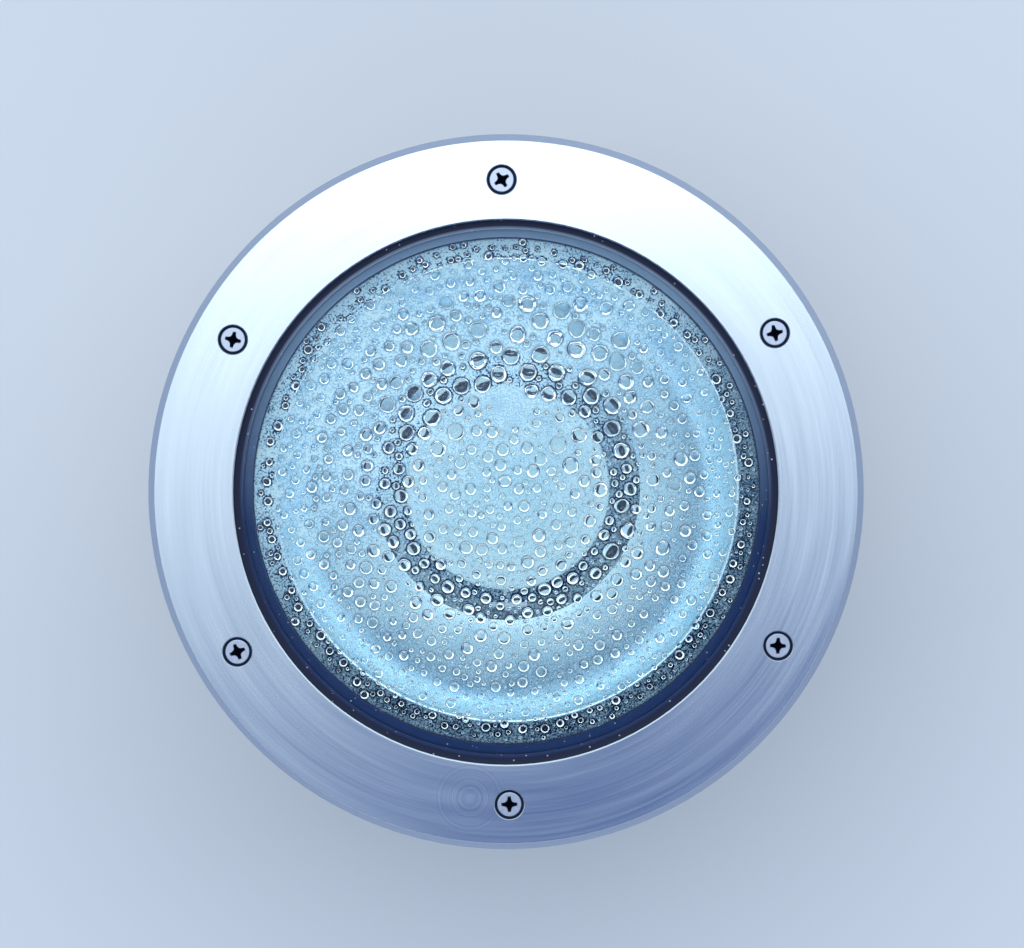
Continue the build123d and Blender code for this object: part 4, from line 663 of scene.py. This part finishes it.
# The largest drops, as set out across the glass: x, y and radius in millimetres.
LARGE_DROPS = [
    (-18.4, 58.6, 2.35), (-21.3, 52.0, 2.71), (-23.9, 44.1, 2.71), (-8.6, 50.1, 2.79),
    (-8.0, 60.6, 1.95), (-2.1, 63.2, 1.89), (0.8, 58.9, 1.92), (6.6, 58.1, 2.88),
    (3.6, 48.6, 2.79), (-16.9, 46.5, 2.91), (-28.4, 30.3, 2.66), (-23.8, 34.7, 2.48),
    (-18.0, 38.2, 2.48), (-13.8, 32.7, 2.63), (-29.3, 50.3, 2.23), (-32.5, 40.5, 2.07),
    (-34.0, 33.7, 2.2), (-8.6, 40.6, 2.91), (-19.4, 29.6, 2.66), (10.6, 42.4, 2.82),
    (17.2, 56.0, 2.63), (23.0, 57.9, 2.48), (30.9, 56.7, 2.2), (21.9, 50.3, 2.76),
    (21.8, 44.0, 2.91), (29.1, 42.9, 2.71), (35.5, 46.7, 2.91), (15.2, 47.4, 2.57),
    (25.3, 35.4, 2.91), (26.5, 29.6, 2.76), (34.6, 40.1, 2.79), (37.1, 34.0, 2.48),
    (32.9, 26.7, 2.72), (40.4, 38.4, 2.07), (15.6, 36.8, 2.79), (10.7, 52.8, 2.66),
    (19.4, 29.1, 2.54), (38.4, 29.1, 2.23), (38.0, 57.5, 1.92), (27.2, 48.7, 2.04),
    (-36.8, 27.0, 2.6), (-30.9, 24.2, 2.54), (-22.9, 22.9, 2.85), (-30.8, 18.2, 2.48),
    (-25.2, 18.0, 2.2), (-21.1, 13.1, 2.6), (-15.6, 18.5, 2.72), (-29.0, 13.2, 1.95),
    (-36.3, 13.5, 1.89), (-33.2, 7.0, 1.89), (16.1, 14.4, 2.85), (19.9, 8.1, 2.69),
    (22.6, 17.4, 2.54), (32.8, 19.6, 2.6), (35.7, 12.7, 2.54), (41.7, 19.4, 2.69),
    (43.7, 26.3, 2.2), (48.1, 18.2, 2.04), (54.1, 10.0, 2.35), (45.5, 3.7, 2.17),
    (52.1, 2.1, 2.23), (29.2, 0.5, 2.35), (38.3, 0.8, 2.04), (35.8, -4.5, 2.35),
    (37.9, -12.1, 2.54), (24.4, 24.8, 1.89), (28.2, 16.8, 1.89), (27.6, 9.7, 1.89),
    (26.0, -9.1, 2.04), (19.9, -15.4, 1.89), (32.6, -18.4, 2.69), (48.5, -17.5, 2.35),
    (10.9, 10.0, 2.04), (1.4, 41.9, 2.7), (-2.3, 36.3, 2.7), (6.8, 36.9, 2.6),
    (-7.2, 33.2, 2.6), (7.9, 31.0, 2.2), (13.1, 30.2, 2.5), (-10.0, 27.6, 2.0),
]
LARGE_SHAPE = (40, 12, 84)                    # sides, rings and contact angle in degrees
LARGE_OVAL = (0.94, 0.012)                    # least width for the length, and each step over it
LARGE_DEPTH = (0.55, 0.6)                     # least depth as a share, and the most over it
LARGE_TURN = 0.9                              # radians from one drop to the next
UNEVEN = 0.25 * MM                            # how far the edge of a large drop strays
WET_PATCH = (2.6, 27.4, 5.6)                  # where drops have run off: x, y, radius
RIM_ZONE = 0.62 * FIELD_R                     # drops shrink from here to the rim
TRIES = 24.0                                  # points tried for each square of the spacing
OVAL = (0.9, 1.08)                            # the least and most width for a drop's length
DEPTH = (0.8, 1.2)                            # the least and most depth, as a share


def drop_mesh(name, sides, rings, contact):
    """A drop of radius 1 m that hangs below z = 0, a ball cut where it meets the glass."""
    edge = radians(contact)
    ball = 1 / sin(edge)
    skin = []
    for k in range(rings, 0, -1):
        a = edge * k / rings
        reach, depth = ball * sin(a), ball * (cos(a) - cos(edge))
        skin.append([(reach * cos(tau * i / sides), reach * sin(tau * i / sides), -depth)
                     for i in range(sides)])
    points, faces = loft(skin, None, (0, 0, -ball * (1 - cos(edge))))
    faces.append(tuple(range(sides)))
    points = [tuple(c / MM for c in p) for p in points]
    return outward(mesh_of(name, points, faces, {len(faces) - 1}))


def scattering():
    """A tree that scatters drops over a disc, clear of those that hang there already."""
    tree, given = geometry_tree("scatter_drops", {
        "Drop": "Object", "Neighbours": "Object", "Material": "Material", "Spacing": "Float",
        "Smallest": "Float", "Largest": "Float", "Gap": "Float", "Rim Share": "Float",
        "Seed": "Int"})
    square = add(tree, "ShaderNodeMath", {0: given["Spacing"], 1: given["Spacing"]},
                 operation="MULTIPLY")
    dense = add(tree, "ShaderNodeMath", {0: TRIES, 1: square}, operation="DIVIDE")
    points = add(tree, "GeometryNodeDistributePointsOnFaces", {
        "Mesh": given["Geometry"], "Distance Min": given["Spacing"], "Density Max": dense,
        "Seed": given["Seed"]}, distribute_method="POISSON")
    place = add(tree, "GeometryNodeInputPosition")
    out = add(tree, "ShaderNodeVectorMath", {
        0: add(tree, "ShaderNodeVectorMath", {0: place, 1: (1, 1, 0)}, operation="MULTIPLY")},
        operation="LENGTH").outputs["Value"]
    share = add(tree, "ShaderNodeMapRange", {
        "Value": out, "From Min": RIM_ZONE, "From Max": FIELD_R,
        "To Max": given["Rim Share"], "To Min": 1.0})
    random = add(tree, "FunctionNodeRandomValue", {
        2: given["Smallest"], 3: given["Largest"], "Seed": given["Seed"]}, data_type="FLOAT")
    radius = add(tree, "ShaderNodeMath", {0: random.outputs[1], 1: share}, operation="MULTIPLY")
    kept = add(tree, "GeometryNodeCaptureAttribute", {"Geometry": points}, domain="POINT")
    kept.capture_items.new("FLOAT", "radius")
    tree.links.new(radius.outputs[0], kept.inputs[1])
    others = add(tree, "GeometryNodeObjectInfo", {"Object": given["Neighbours"]})
    free = add(tree, "GeometryNodeProximity", {0: others.outputs["Geometry"]})
    need = add(tree, "ShaderNodeMath", {0: kept.outputs[1], 1: given["Gap"]}, operation="ADD")
    close = add(tree, "FunctionNodeCompare", {0: free.outputs["Distance"], 1: need},
                operation="LESS_THAN")
    edge = add(tree, "ShaderNodeMath", {0: FIELD_R, 1: kept.outputs[1]}, operation="SUBTRACT")
    over = add(tree, "FunctionNodeCompare", {0: out, 1: edge}, operation="GREATER_THAN")
    bad = add(tree, "FunctionNodeBooleanMath", {0: close, 1: over}, operation="OR")
    left = add(tree, "GeometryNodeDeleteGeometry", {"Geometry": kept, "Selection": bad})
    turn = add(tree, "FunctionNodeRandomValue", {3: tau, "Seed": 3}, data_type="FLOAT")
    oval = add(tree, "FunctionNodeRandomValue", {2: OVAL[0], 3: OVAL[1], "Seed": 4},
               data_type="FLOAT")
    depth = add(tree, "FunctionNodeRandomValue", {2: DEPTH[0], 3: DEPTH[1], "Seed": 5},
                data_type="FLOAT")
    shape = add(tree, "ShaderNodeCombineXYZ", {
        "X": 1.0, "Y": oval.outputs[1], "Z": depth.outputs[1]})
    drop = add(tree, "GeometryNodeObjectInfo", {"Object": given["Drop"]})
    placed = add(tree, "GeometryNodeInstanceOnPoints", {
        "Points": left, "Instance": drop.outputs["Geometry"],
        "Rotation": add(tree, "ShaderNodeCombineXYZ", {"Z": turn.outputs[1]}),
        "Scale": add(tree, "ShaderNodeVectorMath", {0: shape, "Scale": kept.outputs[1]},
                     operation="SCALE")})
    whole = add(tree, "GeometryNodeRealizeInstances", {"Geometry": placed})
    painted = add(tree, "GeometryNodeSetMaterial", {
        "Geometry": whole, "Material": given["Material"]})
    add(tree, "NodeGroupOutput", {"Geometry": painted})
    return tree


def misting():
    """A tree that marks the mist on a film's upper sheet: none on the drops, less round them."""
    tree, given = geometry_tree("mark_mist", {"Drops": "Object", "Clear": "Float"})
    others = add(tree, "GeometryNodeObjectInfo", {"Object": given["Drops"]})
    free = add(tree, "GeometryNodeProximity", {0: others.outputs["Geometry"]})
    between = add(tree, "ShaderNodeMapRange", {
        "Value": free.outputs["Distance"], "From Min": FILM_GAP, "From Max": given["Clear"]})
    place = add(tree, "ShaderNodeSeparateXYZ", {
        "Vector": add(tree, "GeometryNodeInputPosition")})
    upper = add(tree, "ShaderNodeMath", {0: place.outputs["Z"], 1: FILM_TOP - FILM_THICK / 2},
                operation="GREATER_THAN")
    amount = add(tree, "ShaderNodeMath", {0: between, 1: upper}, operation="MULTIPLY")
    stored = add(tree, "GeometryNodeStoreNamedAttribute", {
        "Geometry": given["Geometry"], "Name": "mist", "Value": amount},
        data_type="FLOAT", domain="POINT")
    add(tree, "NodeGroupOutput", {"Geometry": stored})
    return tree


def disc_mesh(name, radius, height, sides=128):
    """A flat round face."""
    ring = [(radius / MM * cos(tau * i / sides), radius / MM * sin(tau * i / sides), height / MM)
            for i in range(sides)]
    return mesh_of(name, ring, [tuple(range(sides))])


def joined(name, meshes):
    """One mesh made of several."""
    work = bmesh.new()
    for mesh in meshes:
        work.from_mesh(mesh)
    made = bpy.data.meshes.new(name)
    work.to_mesh(made)
    work.free()
    return made


# Scattered drops: name, sides, rings, contact angle, spacing, smallest and largest radius and gap
# in millimetres, size at the rim as a share, seed. The smaller the drop, the fewer its faces.
SCATTERED = [
    ("medium_drops", 16, 5, 86, 4.5, 1.3, 2.2, 0.2, 0.66, 11),
    ("lesser_drops", 12, 4, 84, 2.8, 0.7, 1.3, 0.12, 0.75, 23),
    ("small_drops", 9, 3, 82, 1.7, 0.36, 0.75, 0.08, 0.85, 31),
]
drop_level = GLASS_UNDER - DROP_GAP
large_places = [(x * MM, y * MM, drop_level) for x, y, _ in LARGE_DROPS]
large_sizes = []
for k, (x, y, r) in enumerate(LARGE_DROPS):
    # Flat and deep drops hang side by side, as they do where some have just run together.
    width = LARGE_OVAL[0] + LARGE_OVAL[1] * (k % 7)
    depth = LARGE_DEPTH[0] + LARGE_DEPTH[1] * ((k * 37) % 10) / 9
    large_sizes.append((r * MM, r * MM * width, r * MM * depth))
large_turns = [LARGE_TURN * k for k in range(len(LARGE_DROPS))]
one_drop = piece("one_drop", drop_mesh("one_drop", *LARGE_SHAPE))
large = grown("large_drops", set_out,
              marked_points("large_places", large_places, large_turns, large_sizes),
              {"Piece": one_drop, "Material": water, "Unevenness": UNEVEN})
bpy.data.objects.remove(one_drop)
patch_x, patch_y, patch_r = WET_PATCH
patch = disc_mesh("wet_patch_field", patch_r * MM, drop_level, 24)
patch.transform(Matrix.Translation((patch_x * MM, patch_y * MM, 0)))
scatter = scattering()
field = disc_mesh("drop_field", FIELD_R, drop_level)
hanging = [large]
for name, sides, rings, contact, spacing, smallest, largest, gap, rim, seed in SCATTERED:
    near = piece("near", joined("near", hanging + [patch]))
    one_drop = piece("one_drop", drop_mesh("one_drop", sides, rings, contact))
    hanging.append(grown(name, scatter, field.copy(), {
        "Drop": one_drop, "Neighbours": near, "Material": water, "Spacing": spacing * MM,
        "Smallest": smallest * MM, "Largest": largest * MM, "Gap": gap * MM, "Rim Share": rim,
        "Seed": seed}))
    bpy.data.objects.remove(near)
    bpy.data.objects.remove(one_drop)
for mesh in hanging:
    shown = piece(mesh.name, mesh, "cover")


def film_mesh():
    """A thin closed film: a fine upper sheet that carries the mist, and a plain lower one."""
    sides, step = 560, 0.46
    count = int(FIELD_R / MM / step)
    high, low = FILM_TOP / MM, (FILM_TOP - FILM_THICK) / MM
    rings = [[(k * step * cos(tau * i / sides), k * step * sin(tau * i / sides), high)
              for i in range(sides)] for k in range(1, count + 1)]
    rings.append([(x, y, low) for x, y, _ in rings[-1]])
    rings.append([(x * 0.5, y * 0.5, low) for x, y, _ in rings[-1]])
    points, faces = loft(rings, (0, 0, high), (0, 0, low))
    return outward(mesh_of("mist_film", points, faces))


# Mist hangs right up to the smallest drops, so these are left out here.
near = piece("near", joined("near", hanging[:3]))
film = piece("condensed_mist_film", grown("condensed_mist_film", misting(), film_mesh(), {
    "Drops": near, "Clear": MIST_CLEAR}), "cover")
film.data.materials.clear()
film.data.materials.append(mist_film())
bpy.data.objects.remove(near)


# ---- lamp leads ---------------------------------------------------------------------------

# The way of the lamp leads in millimetres: up from the bush, out, and into the holder.
LEAD_ROUTE = [(0, 0, 97.5), (0, 0, 102), (0, 0, 105.6), (6, 0, 105.6), (20, 0, 105.6), (29, 0, 106),
              (32, 0, 110), (31, 0, 117), (27, 0, 121.5), (22, 0, 122), (17.5, 0, 122)]
WIRE_R = 0.88
WIRE_OFFSET = 0.9                             # of each wire's middle from the pair's
TWIST_PITCH = 13.0


def lead_path():
    """Points along a smooth line through the route of the lamp leads."""
    curve = bpy.data.curves.new("lead_path", "CURVE")
    curve.dimensions = "3D"
    curve.resolution_u = 6
    line = curve.splines.new("NURBS")
    line.points.add(len(LEAD_ROUTE) - 1)
    for point, corner in zip(line.points, LEAD_ROUTE):
        point.co = (*[c * MM for c in corner], 1)
    line.order_u = 3
    line.use_endpoint_u = True
    host = piece("lead_path", curve)
    mesh = bpy.data.meshes.new_from_object(host)
    path = [v.co / MM for v in mesh.vertices]
    bpy.data.objects.remove(host)
    return path


def twisted_leads():
    """Two insulated wires twisted round each other along the path."""
    path = lead_path()
    points, faces = [], []
    sides = 10
    for start in (0.0, pi):
        rings, gone = [], 0.0
        for k, here in enumerate(path):
            before, after = path[max(k - 1, 0)], path[min(k + 1, len(path) - 1)]
            gone += (here - before).length
            along = (after - before).normalized()
            side = Vector((0, 1, 0))
            up = along.cross(side).normalized()
            turn = start + tau * gone / TWIST_PITCH
            middle = here + (side * cos(turn) + up * sin(turn)) * WIRE_OFFSET
            ways = [side * cos(tau * i / sides) + up * sin(tau * i / sides) for i in range(sides)]
            rings.append([tuple(middle + way * WIRE_R) for way in ways])
        first, last = [sum((Vector(p) for p in ring), Vector()) / sides
                       for ring in (rings[0], rings[-1])]
        more, skins = loft(rings, tuple(first), tuple(last))
        faces += [tuple(i + len(points) for i in face) for face in skins]
        points += more
    return outward(mesh_of("twisted_lamp_leads", points, faces))


leads = piece("twisted_lamp_leads", twisted_leads())
leads.data.materials.append(braid)
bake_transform(leads)
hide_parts("lamp_leads")


# ---- floor, light and camera --------------------------------------------------------------

FLOOR_R = 12.0
FLOOR_DROP = 0.2 * MM                         # the floor lies this far below the sleeve's foot
CAMERA_AT = (0.0207, 0.0469, 1.565)
CAMERA_AIM = (0.0020, 0.0058, 0.265)

floor_material, floor_tree = new_material("pale_floor")
floor_shade = add(floor_tree, "ShaderNodeBsdfDiffuse", {"Color": "#DDE3EC"})
add(floor_tree, "ShaderNodeOutputMaterial", {"Surface": floor_shade})
floor = piece("floor", disc_mesh("floor", FLOOR_R, -FLOOR_DROP, 64))
floor.data.materials.append(floor_material)

world = bpy.data.worlds.new("studio")
bpy.context.scene.world = world
world.use_nodes = True
world.node_tree.nodes.clear()
tree = world.node_tree
way = add(tree, "ShaderNodeSeparateXYZ", {
    "Vector": add(tree, "ShaderNodeTexCoord").outputs["Generated"]})
# A pale room, with a dim patch of ceiling on the near side of straight overhead, whose soft and
# slanting edge the ring and the glass mirror, and a dim skirting below it.
slant = add(tree, "ShaderNodeMath", {
    0: way.outputs["X"], 1: -0.3, 2: way.outputs["Y"]}, operation="MULTIPLY_ADD")
patch_far = add(tree, "ShaderNodeMapRange", {
    "Value": slant, "From Min": 0.012, "From Max": -0.10}, interpolation_type="SMOOTHSTEP")
patch_near = add(tree, "ShaderNodeMapRange", {
    "Value": way.outputs["Y"], "From Min": -0.65, "From Max": -0.40},
    interpolation_type="SMOOTHSTEP")
overhead = add(tree, "ShaderNodeMapRange", {
    "Value": way.outputs["Z"], "From Min": 0.5, "From Max": 0.8}, interpolation_type="SMOOTHSTEP")
patch_across = add(tree, "ShaderNodeMath", {0: patch_far, 1: patch_near}, operation="MULTIPLY")
dim = add(tree, "ShaderNodeMath", {0: patch_across, 1: overhead}, operation="MULTIPLY")
skirting = add(tree, "ShaderNodeMapRange", {
    "Value": way.outputs["Z"], "From Min": 0.32, "From Max": 0.14}, interpolation_type="SMOOTHSTEP")
near_side = add(tree, "ShaderNodeMapRange", {
    "Value": way.outputs["Y"], "From Min": 0.5, "From Max": -0.6})
low_dim = add(tree, "ShaderNodeMath", {0: skirting, 1: near_side}, operation="MULTIPLY")
walls = add(tree, "ShaderNodeMix", {0: low_dim, 6: "#EAF6FF", 7: "#3E4C74"}, data_type="RGBA")
room = add(tree, "ShaderNodeMix", {0: dim, 6: walls.outputs[2], 7: "#1F4488"}, data_type="RGBA")
sky = add(tree, "ShaderNodeBackground", {"Color": room.outputs[2], "Strength": 1.1})
add(tree, "ShaderNodeOutputWorld", {"Surface": sky})


def look(thing, place, aim):
    """Places a lamp or camera so that it looks at a point, with its top towards the far side."""
    back = (Vector(place) - Vector(aim)).normalized()
    across = Vector((0, 1, 0)).cross(back).normalized()
    turn = Matrix((across, back.cross(across), back)).transposed().to_4x4()
    thing.matrix_world = Matrix.Translation(place) @ turn


def soft_lamp(name, place, aim, width, depth, glow):
    """A rectangular softbox that shines with a given radiance."""
    lamp = bpy.data.lights.new(name, "AREA")
    lamp.shape = "RECTANGLE"
    lamp.size, lamp.size_y = width, depth
    lamp.energy = glow * pi * width * depth
    look(piece(name, lamp), place, aim)


# One softbox overhead on the far side, for soft shadows and sparkle in the drops.
soft_lamp("far_softbox", place=(0, 1.3, 3.6), aim=(0, 0.5, 0), width=3.0, depth=2.2, glow=1.5)

camera_data = bpy.data.cameras.new("camera")
camera_data.sensor_width = 36.0
camera_data.lens = 149.0
camera = piece("camera", camera_data)
look(camera, CAMERA_AT, CAMERA_AIM)
bpy.context.scene.camera = camera
bpy.context.scene.view_settings.view_transform = "Standard"

bpy.context.view_layer.update()
